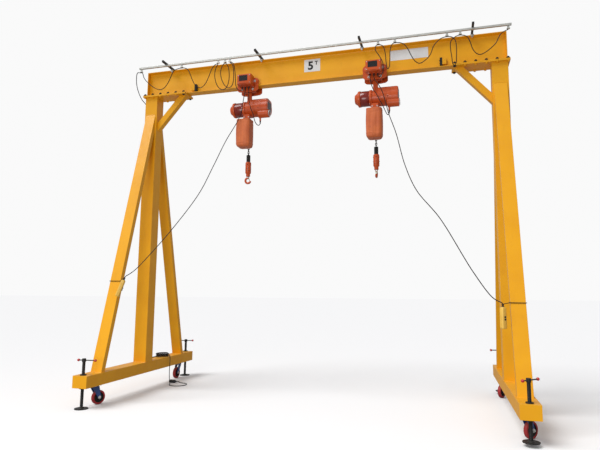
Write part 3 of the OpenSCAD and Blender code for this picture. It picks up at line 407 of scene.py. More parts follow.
LEAD_RIGHT = np.array([
    (.992, -.2, 4.99), (.992, -.2, 4.955), (1, -.212, 4.88), (1.036, -.225, 4.75),
    (1.089, -.23, 4.66), (1.13, -.225, 4.57), (1.178, -.21, 4.48), (1.205, -.19, 4.42),
    (1.228, -.155, 4.37), (1.248, -.105, 4.35), (1.262, -.068, 4.375), (1.267, -.05, 4.41),
    (1.267, -.05, 4.44),
])
FEED = np.array([
    (-3.0005, -.275, 5.419), (-3.026, -.275, 5.419), (-3.05, -.274, 5.427), (-3.076, -.272, 5.434),
    (-3.1, -.266, 5.4), (-3.11, -.255, 5.34), (-3.115, -.24, 5.259), (-3.112, -.205, 5.162),
    (-3.092, -.165, 5.065), (-3.065, -.12, 4.987), (-3.034, -.075, 4.938), (-3.015, -.035, 4.89),
    (-3.008, 0, 4.83), (-3.007, .02, 4.76), (-3.007, .03, 4.6), (-3.007, .03, .6), (-3.007, .06, .52),
    (-3.007, .1, .48), (-3.003, .135, .464), (-2.99, .18, .462), (-2.965, .25, .462),
    (-2.93, .33, .462), (-2.898, .41, .462), (-2.886, .47, .462), (-2.885, .505, .462),
])
DROP = np.array([
    (-2.77, .62, .47), (-2.752, .621, .467), (-2.738, .623, .452), (-2.731, .624, .42),
    (-2.729, .62, .34), (-2.724, .608, .22), (-2.706, .585, .1), (-2.68, .56, .03),
    (-2.66, .525, .009), (-2.636, .46, .008), (-2.584, .411, .008), (-2.51, .39, .008),
    (-2.436, .411, .008), (-2.382, .462, .008), (-2.36, .535, .008), (-2.378, .611, .008),
    (-2.43, .667, .008), (-2.505, .69, .008), (-2.56, .692, .014), (-2.59, .692, .028),
    (-2.616, .692, .028),
])

# %% [markdown]
# The coil is a helix: each turn lies on the one below it, a little wider or narrower, as when a
# cable is dropped in a heap of loops by hand. The cable comes in along the ground beam on the
# outer side and leaves over the inner one.

# %% Coil
CABLE = 0.0125


def coil(centre, radius, turns, start, rise):
    """Points at angle start - 360 t turns round a centre, each turn a rise above the last, with a slow wobble in radius."""
    t = np.linspace(0, turns, int(turns * 30))
    a = math.radians(start) - 2 * np.pi * t
    r = radius + 0.005 * np.sin(2.1 * t + 0.3) * np.minimum(1, 3 * np.minimum(t, turns - t))
    return np.asarray(centre) + np.stack([r * np.cos(a), r * np.sin(a), rise * t], -1)


coil_start = np.array([-2.885, 0.62, 0.455 + CABLE / 2])
wound = coil(coil_start, 0.105, 4.32, 180, 0.0132)
beam_run = [(-3.004, .16, .4635), (-2.996, .24, .4615), (-2.991, .34, .4613), (-2.990, .46, .4613), (-2.990, .56, .4613)]
over_edge = [(-2.79, .668, .508), (-2.757, .648, .482), (-2.738, .637, .445)]
supply_route = np.vstack([FEED[:17], beam_run, wound, over_edge, DROP[4:]])
print("coil", round(float(np.linalg.norm(np.diff(wound, axis=0), axis=1).sum()), 2), "m")

# %% [markdown]
# Cable is a tube of its own thickness along its route. A festoon loop is fixed to the rail by its saddles; it and the
# pendant cables ride on no body.

# %% Cables
def eased(path, passes):
    """Each inner point becomes (previous + 2 this + next) / 4, so that no turn over a saddle is a corner."""
    for _ in range(passes):
        path = np.vstack([path[:1], (path[:-2] + 2 * path[1:-1] + path[2:]) / 4, path[-1:]])
    return path


def cable(name, route, nodes, body, bend=None, thick=CABLE):
    """A tube along the smooth curve through the route; its length is the sum of its steps."""
    path = eased(smooth_path(route, 0.01), 3)
    points, faces = tube(path * 1000, thick * 500, 10)
    obj = piece(name, [((points, faces), SHEATH)], None if bend else body)
    if bend:
        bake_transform(obj)
    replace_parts(obj, *nodes)
    return obj


cable("left_festoon_cable", FESTOON_LEFT, ["festoon_cables"], "left_trolley", (FESTOON_LEFT[46], FESTOON_LEFT[-1]))
cable("right_festoon_cable", FESTOON_RIGHT, ["festoon_cables"], "right_trolley", (FESTOON_RIGHT[44], FESTOON_RIGHT[-1]))
cable("left_pendant_cable", PENDANT_LEFT, ["pendant_cables"], "left_trolley", (PENDANT_LEFT[-1], PENDANT_LEFT[0]))
cable("right_pendant_cable", PENDANT_RIGHT, ["pendant_cables"], "right_trolley", (PENDANT_RIGHT[-1], PENDANT_RIGHT[0]))
cable("left_hoist_cable", LEAD_LEFT, ["left_hoist_lead"], "left_trolley")
cable("right_hoist_cable", LEAD_RIGHT, ["right_hoist_lead"], "right_trolley")

# %% Plug
plug_profile = [(0, 0), (8, 0), (9, 3), (8, 6), (10, 9), (9, 12), (11.5, 15), (10.5, 18), (13, 21), (12, 24), (14, 30),
                (24, 31.5), (27, 35), (28, 40), (28, 62), (26.5, 64), (26.5, 92), (28, 94), (28, 118), (25.5, 120),
                (25.5, 141), (24, 144), (0, 144)]
plug_parts = [(aimed(lathe(plug_profile, 40), DROP[-1] * 1000, (-1, 0, 0)), PLUG)]
for k in range(12):
    rib = placed(block((25.8, -1.6, 66), (28, 1.6, 90)), (0, 0, 0), (0, 0, 30 * k))
    plug_parts.append((aimed(rib, DROP[-1] * 1000, (-1, 0, 0)), PLUG))
plug = piece("supply_plug_body", plug_parts, "root", bevel=0.4)
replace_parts(plug, "supply_plug")
cable("supply_cable_run", supply_route, ["feed_cable", "supply_coil", "supply_cable"], "root")

# %% [markdown]
# The rigid parts come from the CAD. Each is copied, its loose triangles merged and its flat faces
# made whole, and a narrow Bevel rounds the edges. Rolled and welded steel loses its paint along
# such edges first, so the rounded strips take a thinner, worn version of the same paint.

# %% Dressed parts
def dressed(node, finish, edge, width, body=None):
    """A merged copy of a CAD node with rounded, worn edges, which stands for that node."""
    bm = bmesh.new()
    bm.from_mesh(frame["nodes"][node].data)
    bmesh.ops.remove_doubles(bm, verts=bm.verts, dist=2e-5)
    bmesh.ops.dissolve_limit(bm, angle_limit=math.radians(1), verts=bm.verts, edges=bm.edges)
    mesh = bpy.data.meshes.new(node + "_finished")
    bm.to_mesh(mesh)
    bm.free()
    mesh.materials.clear()
    mesh.polygons.foreach_set("material_index", np.zeros(len(mesh.polygons), np.int32))
    obj = seated(node + "_finished", mesh, [finish], home[node] if body is None else body, width, edge, recalc=False)
    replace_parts(obj, node)
    return obj


for node in ("main_beam", "beam_end_plates", "beam_foot_plates", "leg_head_plates", "left_column", "right_column",
             "left_rakers", "right_rakers", "knee_braces", "left_ground_beam", "right_ground_beam", "trolley_stops"):
    dressed(node, YELLOW, YELLOW_EDGE, 3.0 if "beam" in node or "column" in node else 2.5)
for side in ("left", "right"):
    for end in ("front", "rear"):
        dressed(f"{side}_{end}_fork", BLUE, BLUE_EDGE, 1.5)
    for part in ("trolley_frame", "control_box", "gearcase", "hook_block", "hook"):
        dressed(f"{side}_{part}", ORANGE, ORANGE_EDGE, 1.5)
dressed("festoon_rail", ZINC, BRIGHT, 0.8)
dressed("caster_plates", ZINC, BRIGHT, 1.0)
dressed("rail_arms", BLACK, BLACK_EDGE, 1.5)
dressed("cable_saddles", ZINC, BRIGHT, 1.0)
dressed("jack_sleeves", BLACK, BLACK_EDGE, 1.5)
dressed("left_chain_bumper", RUBBER, RUBBER, 1.5)
dressed("right_chain_bumper", RUBBER, RUBBER, 1.5)
dressed("pendant_ties", SHEATH, SHEATH, 1.5)

# %% [markdown]
# The legs are bolted to the beam through pairs of plates, six bolts a side at each leg. A bolt is
# a washer and a hexagon: the same revolved profile, taken in 24 steps or in 6. Its stud shows
# above the nut, and each end is turned down to a small chamfer. The nuts stand on the upper plate
# and are black; the heads below were painted over with the leg, all but the innermost ones.

# %% Bolts
def head(at, up, size):
    """A hexagon head on its washer, with its axis along up; the hexagon is 1.74 sizes over its corners."""
    s = size
    washer = lathe([(0, 0), (1.12 * s, 0), (1.12 * s, .13 * s), (0, .13 * s)], 24)
    six = lathe([(0, .13 * s), (.87 * s, .13 * s), (.87 * s, .66 * s), (.76 * s, .76 * s), (0, .76 * s)], 6)
    return aimed(join(washer, six), at, up)


def nut(at, up, size):
    """A head with the end of its stud standing out of it, chamfered."""
    s = size
    stud = lathe([(0, .7 * s), (.5 * s, .7 * s), (.5 * s, 1.05 * s), (.42 * s, 1.14 * s), (0, 1.14 * s)], 16)
    return join(head(at, up, size), aimed(stud, at, up))


foot_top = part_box("beam_foot_plates")[1].z * 1000
head_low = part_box("leg_head_plates")[0].z * 1000
bolt_rows = [(s * x, e * 125) for s in (-1, 1) for e in (-1, 1) for x in np.linspace(2250, 3000, 6)]
parts = [(nut((x, y, foot_top), (0, 0, 1), 28), BLACK) for x, y in bolt_rows]
parts += [(head((x, y, head_low), (0, 0, -1), 22), BLACK if abs(x) < 2260 else YELLOW) for x, y in bolt_rows]
piece("beam_bolts", parts, "root")
print(len(bolt_rows), "bolts through the beam's plates")

# %% [markdown]
# Columns, raking legs and knee braces are welded on. A fillet weld is laid as a row of small
# overlapping ripples, so its radius is that of the bead with a short wave along its path.

# %% Welds
leg_x, col_x, col_y = 2885, 115, 105
slope = (1215 - col_y) / (4700 - 455)
raker_deep = 80 * math.hypot(1, slope)


def weld(corners, size=5.0):
    """A bead along a closed run of corners: radius = size (1 + 0.16 sin 2 pi s / 8), s the way along it in mm."""
    c = np.asarray(list(corners) + [corners[0]], float)
    run = np.r_[0, np.cumsum(np.linalg.norm(np.diff(c, axis=0), axis=1))]
    s = np.arange(0, run[-1], 4.0)
    path = np.stack([np.interp(s, run, c[:, i]) for i in range(3)], -1)
    return tube(path, size * (1 + 0.16 * np.sin(2 * np.pi * s / 8)), 6)


def ring(x, y, z):
    """Four corners of a level or upright rectangle from the pairs of ends; one axis has a single value."""
    if np.isscalar(z):
        return [(x[0], y[0], z), (x[1], y[0], z), (x[1], y[1], z), (x[0], y[1], z)]
    if np.isscalar(y):
        return [(x[0], y, z[0]), (x[1], y, z[0]), (x[1], y, z[1]), (x[0], y, z[1])]
    return [(x, y[0], z[0]), (x, y[1], z[0]), (x, y[1], z[1]), (x, y[0], z[1])]


beads = []
for s in (-1, 1):
    side_x = (s * leg_x - col_x, s * leg_x + col_x)
    rake_x = (s * leg_x - 90, s * leg_x + 90)
    beads += [weld(ring(side_x, (-col_y, col_y), z)) for z in (455, 5018)]
    beads.append(weld(ring(s * (leg_x - col_x), (-50, 50), (4421, 4573))))
    beads.append(weld(ring((s * 2247, s * 2380), (-50, 50), 5018)))
    for e in (-1, 1):
        beads.append(weld(ring(rake_x, (e * 1215, e * (1215 - raker_deep)), 455)))
        beads.append(weld(ring(rake_x, e * col_y, (4700 - raker_deep / slope, 4700))))
        beads.append(weld(ring((s * 2075, s * 2135), (e * 5.8, e * 6.8), 5186), 4))
piece("weld_beads", [(join(*beads), YELLOW)], "root")
print(len(beads), "welds")

# %% [markdown]
# Two thin plates are riveted to the web: a white one with the load it may lift, and a pale one
# left bare. The rail's arms are clamped to the top flange with bright bolts, and a tall rubber
# pad stands on each stop.

# %% Plates and clamps
def letters(text, size, at, deep=0.8):
    """A word's flat outline from Blender's own font, given a thickness and stood up facing -Y."""
    curve = bpy.data.curves.new("word", "FONT")
    curve.body, curve.size, curve.extrude, curve.offset = text, size * MM, deep * MM / 2, 0.035 * size * MM
    word = bpy.data.objects.new("word", curve)
    scene.collection.objects.link(word)
    mesh = bpy.data.meshes.new_from_object(word.evaluated_get(bpy.context.evaluated_depsgraph_get()))
    p = np.array([v.co for v in mesh.vertices]) * 1000
    shape = (p - (p.max(0) + p.min(0)) / 2, [list(f.vertices) for f in mesh.polygons])
    bpy.data.objects.remove(word)
    bpy.data.meshes.remove(mesh)
    return placed(shape, at, (90, 0, 0))


def riveted(name, x, z, finish, extra=()):
    """A 1.5 mm plate on the front of the web, with a rivet 9 mm in from each corner."""
    rivet = lathe([(0, 0), (4, 0), (3.4, 1.4), (1.8, 2.2), (0, 2.5)], 12)
    face = -5.75
    parts = [(block((x[0], face - 1.5, z[0]), (x[1], face, z[1])), finish)]
    parts += [(aimed(rivet, (a, face - 1.5, b), (0, -1, 0)), BRIGHT) for a in (x[0] + 9, x[1] - 9) for b in (z[0] + 9, z[1] - 9)]
    return piece(name, parts + list(extra), "root", bevel=0.3)


words = [(letters("5", 190, (-10, -7.6, 5330)), PLATE_BLACK), (letters("T", 88, (88, -7.6, 5368)), PLATE_BLACK)]
riveted("capacity_plate", (-117, 153), (5225, 5437), WHITE, words)
riveted("bare_plate", (1291, 1868), (5258, 5423), WHITE)

clamps = []
for x in (-2520, -845, 850, 2515):
    for y, e in ((-75, -1), (75, 1)):
        hook_side = [(block((x - 20, y - 14, 5471), (x + 20, y + 14, 5483)), ZINC),
                     (block((x - 20, y + e * 2, 5483), (x + 20, y + e * 14, 5508)), ZINC)]
        clamps += hook_side + [(nut((x, y - 2 * e, 5471), (0, 0, -1), 14), BRIGHT), (head((x, y + 14 * e, 5495), (0, e, 0), 15), BRIGHT)]
    clamps += [(block((x - 17, -392, 5505), (x + 17, -386, 5543)), BLACK), (head((x, -275, 5540), (0, 0, 1), 12), BRIGHT)]
piece("rail_clamps", clamps, "root", bevel=0.8)

pads = []
for s in (-1, 1):
    for e in (-1, 1):
        y = sorted((e * 18, e * 66))
        x = sorted((s * 2075, s * 2039))
        pads.append((block((x[0], y[0], 5078), (x[1], y[1], 5200)), RUBBER))
        pads.append((head((s * 2039, e * 42, 5160), (-s, 0, 0), 10), BLACK))
        pads.append((head((s * 2039, e * 42, 5115), (-s, 0, 0), 10), BLACK))
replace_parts(piece("rubber_pads", pads, "root", bevel=3), "stop_buffers")

# %% [markdown]
# A caster is a pressed fork on a ball race, with a red tread cast round a black core. All of it is
# worked out about the swivel axis with the wheel trailing along +X, and then turned to the angle
# that this caster stands at.

# %% Casters
SWIVEL = {"left_front": 68, "left_rear": -90, "right_front": 44, "right_rear": -120}
CASTER_Y, TRAIL, WHEEL_R = 1215, 60, 100


def caster_parts():
    """Wheel, fork fittings and plate bolts of one caster, each a list of (shape, finish)."""
    arc = [(90 + 10 * math.cos(a), -15 + 10 * math.sin(a)) for a in np.radians(np.linspace(-90, 0, 6))]
    tread = [(74, -23)] + arc + [(r, -z) for r, z in arc[::-1]] + [(74, 23), (74, -23)]
    core = [(26, -28), (29, -9), (70, -9), (74.2, -22), (74.2, 22), (70, 9), (29, 9), (26, 28), (15, 28), (15, -28), (26, -28)]
    bush = [(10.2, -28.3), (16, -28.3), (16, 28.3), (10.2, 28.3), (10.2, -28.3)]
    wheel = [(lathe(tread, 64), TREAD), (lathe(core, 48), BLACK), (lathe(bush, 24), BRIGHT)]
    for k in range(8):
        wheel += [(placed(block((27, -2.5, z - 5), (72, 2.5, z + 5)), (0, 0, 0), (0, 0, 45 * k)), BLACK) for z in (-12, 12)]
    wheel = [(placed(s, (TRAIL, 0, WHEEL_R), (90, 0, 0)), f) for s, f in wheel]
    fork = [(nut((TRAIL, s * 37, WHEEL_R), (0, s, 0), 20.5), BRIGHT) for s in (-1, 1)]
    fork += [(placed(lathe([(50, z), (53, z), (53.4, z + 1.2), (53, z + 2.4), (50, z + 2.4), (50, z)], 40)), BLACK) for z in (264, 270)]
    fork += [(nut((0, 0, 252), (0, 0, -1), 16), BRIGHT)]
    plate = [(head((x, y, 275), (0, 0, -1), 12), BRIGHT) for x in (-56, 56) for y in (-56, 56)]
    return wheel, fork, plate


wheel_parts, fork_parts, plate_parts = caster_parts()
for which, angle in SWIVEL.items():
    side, end = which.split("_")
    at = ((-1 if side == "left" else 1) * leg_x, (-1 if end == "front" else 1) * CASTER_Y, 0)
    wheel = piece(which + "_castor_wheel", [(placed(s, at, (0, 0, angle)), f) for s, f in wheel_parts], which + "_roller", bevel=0.6)
    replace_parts(wheel, which + "_wheel")
    piece(which + "_axle_nuts", [(placed(s, at, (0, 0, angle)), f) for s, f in fork_parts], which + "_caster")
    piece(which + "_plate_bolts", [(placed(s, at), f) for s, f in plate_parts], "root")

# %% [markdown]
# A screw jack stands at each end of the ground beams. The thread is real: its radius follows the
# height less the angle, so that the crest climbs one pitch in each turn.

# %% Jacks
def thread(radius, depth, pitch, z0, z1, steps=20):
    """Radius = radius - depth w, with w a flat-topped wave of z / pitch - t / 2 pi."""
    z = np.arange(z0, z1, pitch / 5)
    t = np.arange(steps) * 2 * np.pi / steps
    turn = z[:, None] / pitch - t[None] / (2 * np.pi)
    wave = np.clip(2.4 * np.abs(2 * (turn % 1) - 1) - 0.7, 0, 1)
    r = radius - depth * wave
    p = np.stack([r * np.cos(t), r * np.sin(t), np.repeat(z[:, None], steps, 1)], -1)
    last = (len(z) - 1) * steps
    caps = [list(range(steps))[::-1], list(range(last, last + steps))]
    return p.reshape(-1, 3), grid_faces(len(z), steps) + caps


def ball(radius, steps=24):
    """A revolved half circle."""
    a = np.linspace(-np.pi / 2, np.pi / 2, 13)
    return lathe(np.stack([radius * np.cos(a), radius * np.sin(a)], -1), steps)


HANDLES = {"left_front": (5, 45), "left_rear": (20, 0), "right_front": (45, 30), "right_rear": (15, -20)}
foot = [(0, 0), (91, 0), (92.5, 1.5), (92.5, 10.5), (91, 12), (42, 12), (40, 14), (26, 27), (21, 28), (0, 28)]
top = [(0, 637), (24, 637), (27, 640), (27, 682), (24, 685), (0, 685)]
for which, (angle, slid) in HANDLES.items():
    side, end = which.split("_")
    at = ((-1 if side == "left" else 1) * leg_x, (-1 if end == "front" else 1) * 1486, 0 if side == "left" else 40)
    bar = lathe([(0, -130), (7, -130), (8, -128), (8, 128), (7, 130), (0, 130)], 16)
    jack = [(lathe(foot, 48), BLACK), (thread(22, 2.2, 8, 26, 640), BLACK), (lathe(top, 32), BLACK)]
    grip = [(bar, BLACK_EDGE), (placed(ball(19), (0, 0, -130)), KNOB), (placed(ball(19), (0, 0, 130)), KNOB)]
    jack += [(placed(placed(placed(s, (0, 0, 0), (0, 90, 0)), (slid, 0, 662)), (0, 0, 0), (0, 0, angle)), f) for s, f in grip]
    made = piece(which + "_screw_jack", [(placed(s, at), f) for s, f in jack], which + "_jack_screw")
    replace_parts(made, which + "_jack")
print("jack", len(made.data.polygons), "faces")

# %% [markdown]
# Each hoist hangs from a trolley. The trolley's axles end in nuts on both side plates; the control
# box in front has a black plate, a lip along its foot and three cable glands below.

# %% Trolley fittings
HOIST_X = {"left": -1070, "right": 1052}
AXLE_Z, BOX_Y, BOX_Z = 5119.9, -275, 5012


def gland(at, down=(0, 0, -1)):
    """A hexagon nut and a tapered rubber sleeve, 46 mm long, where a cable leaves its box."""
    sleeve = [(0, 0), (12, 0), (12, 7), (10.5, 9), (11.5, 12), (10, 14), (11, 17), (9.4, 20), (10.2, 23), (8.6, 27), (9.2, 30), (7.6, 36), (7.2, 46), (0, 46)]
    return [(aimed(lathe([(0, -7), (15, -7), (15, 1), (0, 1)], 6), at, down), BLACK), (aimed(lathe(sleeve, 20), at, down), RUBBER)]


for side, hx in HOIST_X.items():
    body = side + "_trolley"
    parts = [(nut((hx + s * 122, e * 117, AXLE_Z), (0, e, 0), 24), BRIGHT) for s in (-1, 1) for e in (-1, 1)]
    parts += [(nut((hx + s * 92, e * 108, 4988), (0, e, 0), 19), BRIGHT) for s in (-1, 1) for e in (-1, 1)]
    parts += [(head((hx + s * 60, -101, 5030 + 40 * k), (0, -1, 0), 8), BLACK) for s in (-1, 1) for k in (0, 1)]
    piece(side + "_trolley_nuts", parts, body)
    front = BOX_Y - 10
    cover = [(block((hx - 84, front - 3, BOX_Z + 58), (hx + 62, front, BOX_Z + 152)), PLATE_BLACK)]
    cover += [(block((hx - 123, BOX_Y - 5, BOX_Z + 3), (hx + 123, BOX_Y + 1, BOX_Z + 10)), ORANGE)]
    cover += [(head((hx + s * 98, front, BOX_Z + z), (0, -1, 0), 6), BRIGHT) for s in (-1, 1) for z in (24, 150)]
    for gx in (-60, 0, 60):
        cover += gland((hx + gx, -200, 4990))
    cover += gland((hx + 215, -50, 4440))
    piece(side + "_box_fittings", cover, body, bevel=0.6)

# %% [markdown]
# The motor is one turned form in three finishes: an orange fan cover, a dark red shell with a
# strong gloss, and the orange flange it is bolted to. The revolved profile is cut where the finish
# changes, and the pieces meet in a narrow step.

# %% Motors
def spun(profile, hx, z, steps=56):
    """A profile of (axial place, radius) pairs revolved about an axis along X through (hx, z)."""
    return placed(lathe([(r, x) for x, r in profile], steps), (hx, 0, z), (0, 90, 0))


def curve(cx, cr, radius, a0, a1, n=7):
    """Points of an arc in (axial place, radius): centre + radius (-cos a, sin a)."""
    return [(cx - radius * math.cos(a), cr + radius * math.sin(a)) for a in np.radians(np.linspace(a0, a1, n))]


for side, hx in HOIST_X.items():
    z = 4675
    cap = [(-325, 0), (-325, 58)] + curve(-313, 60, 12, 10, 60) + [(-290, 92), (-276, 106)] + curve(-258, 104, 22, 50, 90) + [(-236, 126), (-233, 124), (-233, 118)]
    shell = [(-236, 112), (-232, 118), (-229, 120), (-170, 121), (-100, 120), (-92, 118), (-90, 110)]
    flange = [(-94, 112), (-91, 122), (-88, 128), (-85, 130), (-72, 130), (-69, 128), (-69, 100)]
    parts = [(spun(cap, hx, z), ORANGE), (spun(shell, hx, z), RED_SHELL), (spun(flange, hx, z), ORANGE)]
    for k in range(6):
        a = math.radians(60 * k + 30)
        y, up = 121 * math.sin(a), 121 * math.cos(a)
        parts.append((head((hx - 88, y, z + up), (-1, 0, 0), 8), BRIGHT))
    parts.append((aimed(lathe([(0, 0), (5, 0), (0, 2)], 12), (hx - 325, 0, z), (-1, 0, 0)), BLACK))
    # The nine black blocks on the fan cover's end stand for vent slots that are not cut: painted shade of the openings.
    slot = placed(block((-2.5, -7, -1.2), (2.5, 7, 1.2)), (-326, 0, 44), (0, 90, 0))
    parts += [(placed(slot, (hx, 0, z), (36 * k, 0, 0)), BLACK) for k in range(1, 10)]
    made = piece(side + "_motor_cover", parts, side + "_trolley")
    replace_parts(made, side + "_motor")

    fit = []
    for k in range(8):
        a = math.radians(45 * k + 22)
        fit.append((head((hx + 355, 108 * math.sin(a), z + 108 * math.cos(a)), (1, 0, 0), 8), BRIGHT))
    fit.append((block((hx + 354, -72, z - 62), (hx + 358, 72, z + 86)), PLATE_BLACK))
    band = [(374, 40), (378, 40), (379, 42), (379, 52), (377, 54), (374, 54), (374, 40)]
    fit.append((placed(spun(band, 0, 0), (hx, -50, z - 112)), BRIGHT))
    fit += [(head((hx + x, -128, z - 30 + 20 * k), (0, -1, -.25), 8), BRIGHT if k else BLACK) for x in (66, 200) for k in (0, 1)]
    fit += [(block((hx - 50, -60, z - 128), (hx + 50, 60, z - 116)), BLACK)]
    fit += [(head((hx + s * 38, -44.5, z - 124), (0, -1, 0), 8), BRIGHT if s > 0 else BLACK) for s in (-1, 0, 1)]
    piece(side + "_hoist_fittings", fit, side + "_trolley", bevel=0.6)

# %% [markdown]
# The load chain is the frame's own links. Most of it is in the bag: what shows hangs from the hoist to the block, and
# rides on no body. The block is two halves with a seam, and the hook turns under it, its mouth closed by a sprung zinc
# latch.

# %% Chain, block and hook
for side, hx in HOIST_X.items():
    links = dressed(side + "_load_chain", CHAIN, None, 0, body="")
    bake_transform(links)
    lo, hi = [c.z * 1000 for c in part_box(side + "_hook_block")]
    seam = [(46, -1.5), (47.8, -1.5), (47.8, 1.5), (46, 1.5), (46, -1.5)]
    parts = [(placed(lathe(seam, 40), (hx, 0, lo + 96)), BLACK)]
    parts += [(head((hx + 46 * math.cos(a), 46 * math.sin(a), lo + z), (math.cos(a), math.sin(a), 0), 7), BLACK)
              for a in np.radians((-90, 0, 90, 180)) for z in (130, 200)]
    parts += [(placed(lathe([(32, 0), (33.6, 2), (32, 5), (32, 0)], 32), (hx, 0, hi + k)), RUBBER) for k in (18, 38, 58, 78, 98)]
    piece(side + "_block_screws", parts, side + "_block")
    turn = 180 if side == "left" else 90
    spring = [(block((-2, -12, -42), (1, 12, 3)), LATCH), (block((-2, -14, -8), (16, -10, 4)), LATCH), (block((-2, 10, -8), (16, 14, 4)), LATCH)]
    latch = [(placed(placed(s, (-15, 0, -29), (0, 20, 0)), (hx, 0, lo), (0, 0, turn)), f) for s, f in spring]
    latch += [(placed(lathe([(15, -22), (22, -20), (22, -4), (15, -2), (15, -22)], 6), (hx, 0, lo)), BRIGHT)]
    piece(side + "_hook_latch", latch, side + "_hook_body", bevel=0.8)

# %% [markdown]
# The chain bag is orange coated cloth. Its shell is a rounded rectangle carried down a profile
# that closes at the bottom. The weight of the chain draws soft upright folds from the hanger and
# short creases near the foot, where a seam goes round. It is worked out, not simulated: the cloth
# is stiff, and its folds are few and the same every time.

# %% Cloth
def cloth():
    """Coated cloth: two tones, a fine weave as bump from the piece's own UV map, and a soft sheen."""
    m = surface("bag_cloth", (0.60, 0.135, 0.03), (0.50, 0.10, 0.024), rough=(0.55, 0.75), patch=7, grime=0.35, dust=0.3)
    nt = m.node_tree
    shader = nt.nodes["Principled BSDF"]
    shader.inputs["Sheen Weight"].default_value = 0.15
    uv = nt.nodes.new("ShaderNodeUVMap")
    uv.uv_map = "weave"
    waves = []
    for axis in ("X", "Y"):
        w = nt.nodes.new("ShaderNodeTexWave")
        w.bands_direction = axis
        w.inputs["Scale"].default_value = 120
        w.inputs["Distortion"].default_value = 0.4
        nt.links.new(uv.outputs["UV"], w.inputs["Vector"])
        waves.append(w.outputs["Fac"])
    bump = nt.nodes.new("ShaderNodeBump")
    bump.inputs["Strength"].default_value = 0.25
    bump.inputs["Distance"].default_value = 0.0006
    nt.links.new(times(nt, *waves), bump.inputs["Height"])
    nt.links.new(shader.inputs["Normal"].links[0].from_socket, bump.inputs["Normal"])
    nt.links.new(bump.outputs["Normal"], shader.inputs["Normal"])
    return m


CLOTH = cloth()


# %% Bags
def bag_surface(half_x, half_y, top, bottom, seed):
    """Rounded rectangle |x/a|^5 + |y/b|^5 = 1 carried down a profile that turns in on itself at the foot; folds are sines
    of the angle that fade towards the hem, creases are sines of the height near the foot, and the seam is a narrow ridge."""
    t = np.linspace(0, 2 * np.pi, 160, endpoint=False)
    flat = (np.abs(np.cos(t)) ** 5 + np.abs(np.sin(t)) ** 5) ** (-1 / 5)
    tall = top - bottom
    s = np.linspace(0, 1, 90)
    turn = np.linspace(0, np.pi / 2, 14)[1:]
    z = np.r_[top - s * (tall - 52), bottom + 52 * (1 - np.sin(turn))]
    size = np.r_[np.ones(90), 1 - 0.38 * (1 - np.cos(turn))]
    z, size = np.r_[z, bottom + 1.5, bottom + 3], np.r_[size, 0.3, 0.001]
    down = (top - z) / tall
    belly = 1 + 0.035 * np.sin(np.pi * np.clip(down * 1.1, 0, 1)) - 0.02 * np.exp(-((down - 0.04) / 0.05) ** 2)
    fade = np.clip(down * 3, 0.25, 1)[:, None] * np.clip(size * 1.4 - 0.4, 0, 1)[:, None]
    d = down[:, None]
    fold = 2.6 * np.sin(5 * t + seed + 1.2 * np.sin(2.2 * d)) + 1.6 * np.sin(9 * t - 2 * seed + 2.5 * d) + 0.9 * np.sin(17 * t + 3 * seed)
    crease = 1.8 * np.sin(46 * d + 1.5 * np.sin(3 * t + seed)) * np.exp(-((d - 0.9) / 0.09) ** 2)
    crease = crease + 1.4 * np.sin(38 * d + 2 * np.sin(2 * t + seed)) * np.exp(-((d - 0.12) / 0.07) ** 2)
    seam = 2.2 * np.exp(-((d - 0.85) / 0.006) ** 2) - 1.2 * np.exp(-((d - 0.868) / 0.006) ** 2)
    hem = 1.8 * (1 / (1 + np.exp((d - 0.055) / 0.003)))
    out = fold * fade + (crease + seam + hem) * np.clip(size * 1.4 - 0.4, 0, 1)[:, None]
    r = size[:, None] * belly[:, None]
    x = half_x * r * flat * np.cos(t) + out * np.cos(t)
    y = half_y * r * flat * np.sin(t) + out * np.sin(t)
    p = np.stack([x, y, np.repeat(z[:, None], len(t), 1)], -1)
    return p.reshape(-1, 3), grid_faces(len(z), len(t))


BAG_HALF_X, BAG_HALF_Y, BAG_TALL, BAG_MIDDLE_Y = 120, 109, 458, -185.5

for side, hx in HOIST_X.items():
    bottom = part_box(side + "_chain_bag")[0].z * 1000
    top = bottom + BAG_TALL
    shell_points, shell_faces = bag_surface(BAG_HALF_X, BAG_HALF_Y, top, bottom, 0.4 if side == "left" else 2.1)
    middle = (hx, BAG_MIDDLE_Y, 0)
    sack = (placed((shell_points, shell_faces), middle), CLOTH)
    sack = piece(side + "_cloth_bag", [sack], side + "_trolley")
    wall = sack.modifiers.new("cloth_thickness", "SOLIDIFY")
    wall.thickness, wall.offset = 0.0025, -1
    weave = sack.data.uv_layers.new(name="weave")
    co = np.array([sack.data.vertices[l.vertex_index].co for l in sack.data.loops])
    around = np.arctan2(co[:, 1] - middle[1] * MM, co[:, 0] - hx * MM) * 0.13
    weave.data.foreach_set("uv", np.stack([around, co[:, 2]], -1).ravel().astype(np.float32))
    hanger = [(block((hx - 55, -138, top - 22), (hx + 55, -126, 4545)), ORANGE), (block((hx - 55, -138, 4528), (hx + 55, -44, 4545)), ORANGE)]
    hanger += [(head((hx + s * 38, -138, 4500), (0, -1, 0), 9), BRIGHT) for s in (-1, 1)]
    hanger += [(head((hx + s * 38, -138, top - 8), (0, -1, 0), 8), BLACK) for s in (-1, 1)]
    made = piece(side + "_bag_hanger", hanger, side + "_trolley", bevel=1.2)
    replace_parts(sack, side + "_chain_bag")
    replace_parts(made, side + "_chain_bag")
print("bag", len(shell_faces), "faces")

# %% [markdown]
# The push-button pendants are yellow moulded cases in two halves. The case is a rounded rectangle
# carried down a profile. Two black buttons in collars stand at mid height on one broad face, with a
# blank cap above and below, and the joint of the two halves runs round the edge.

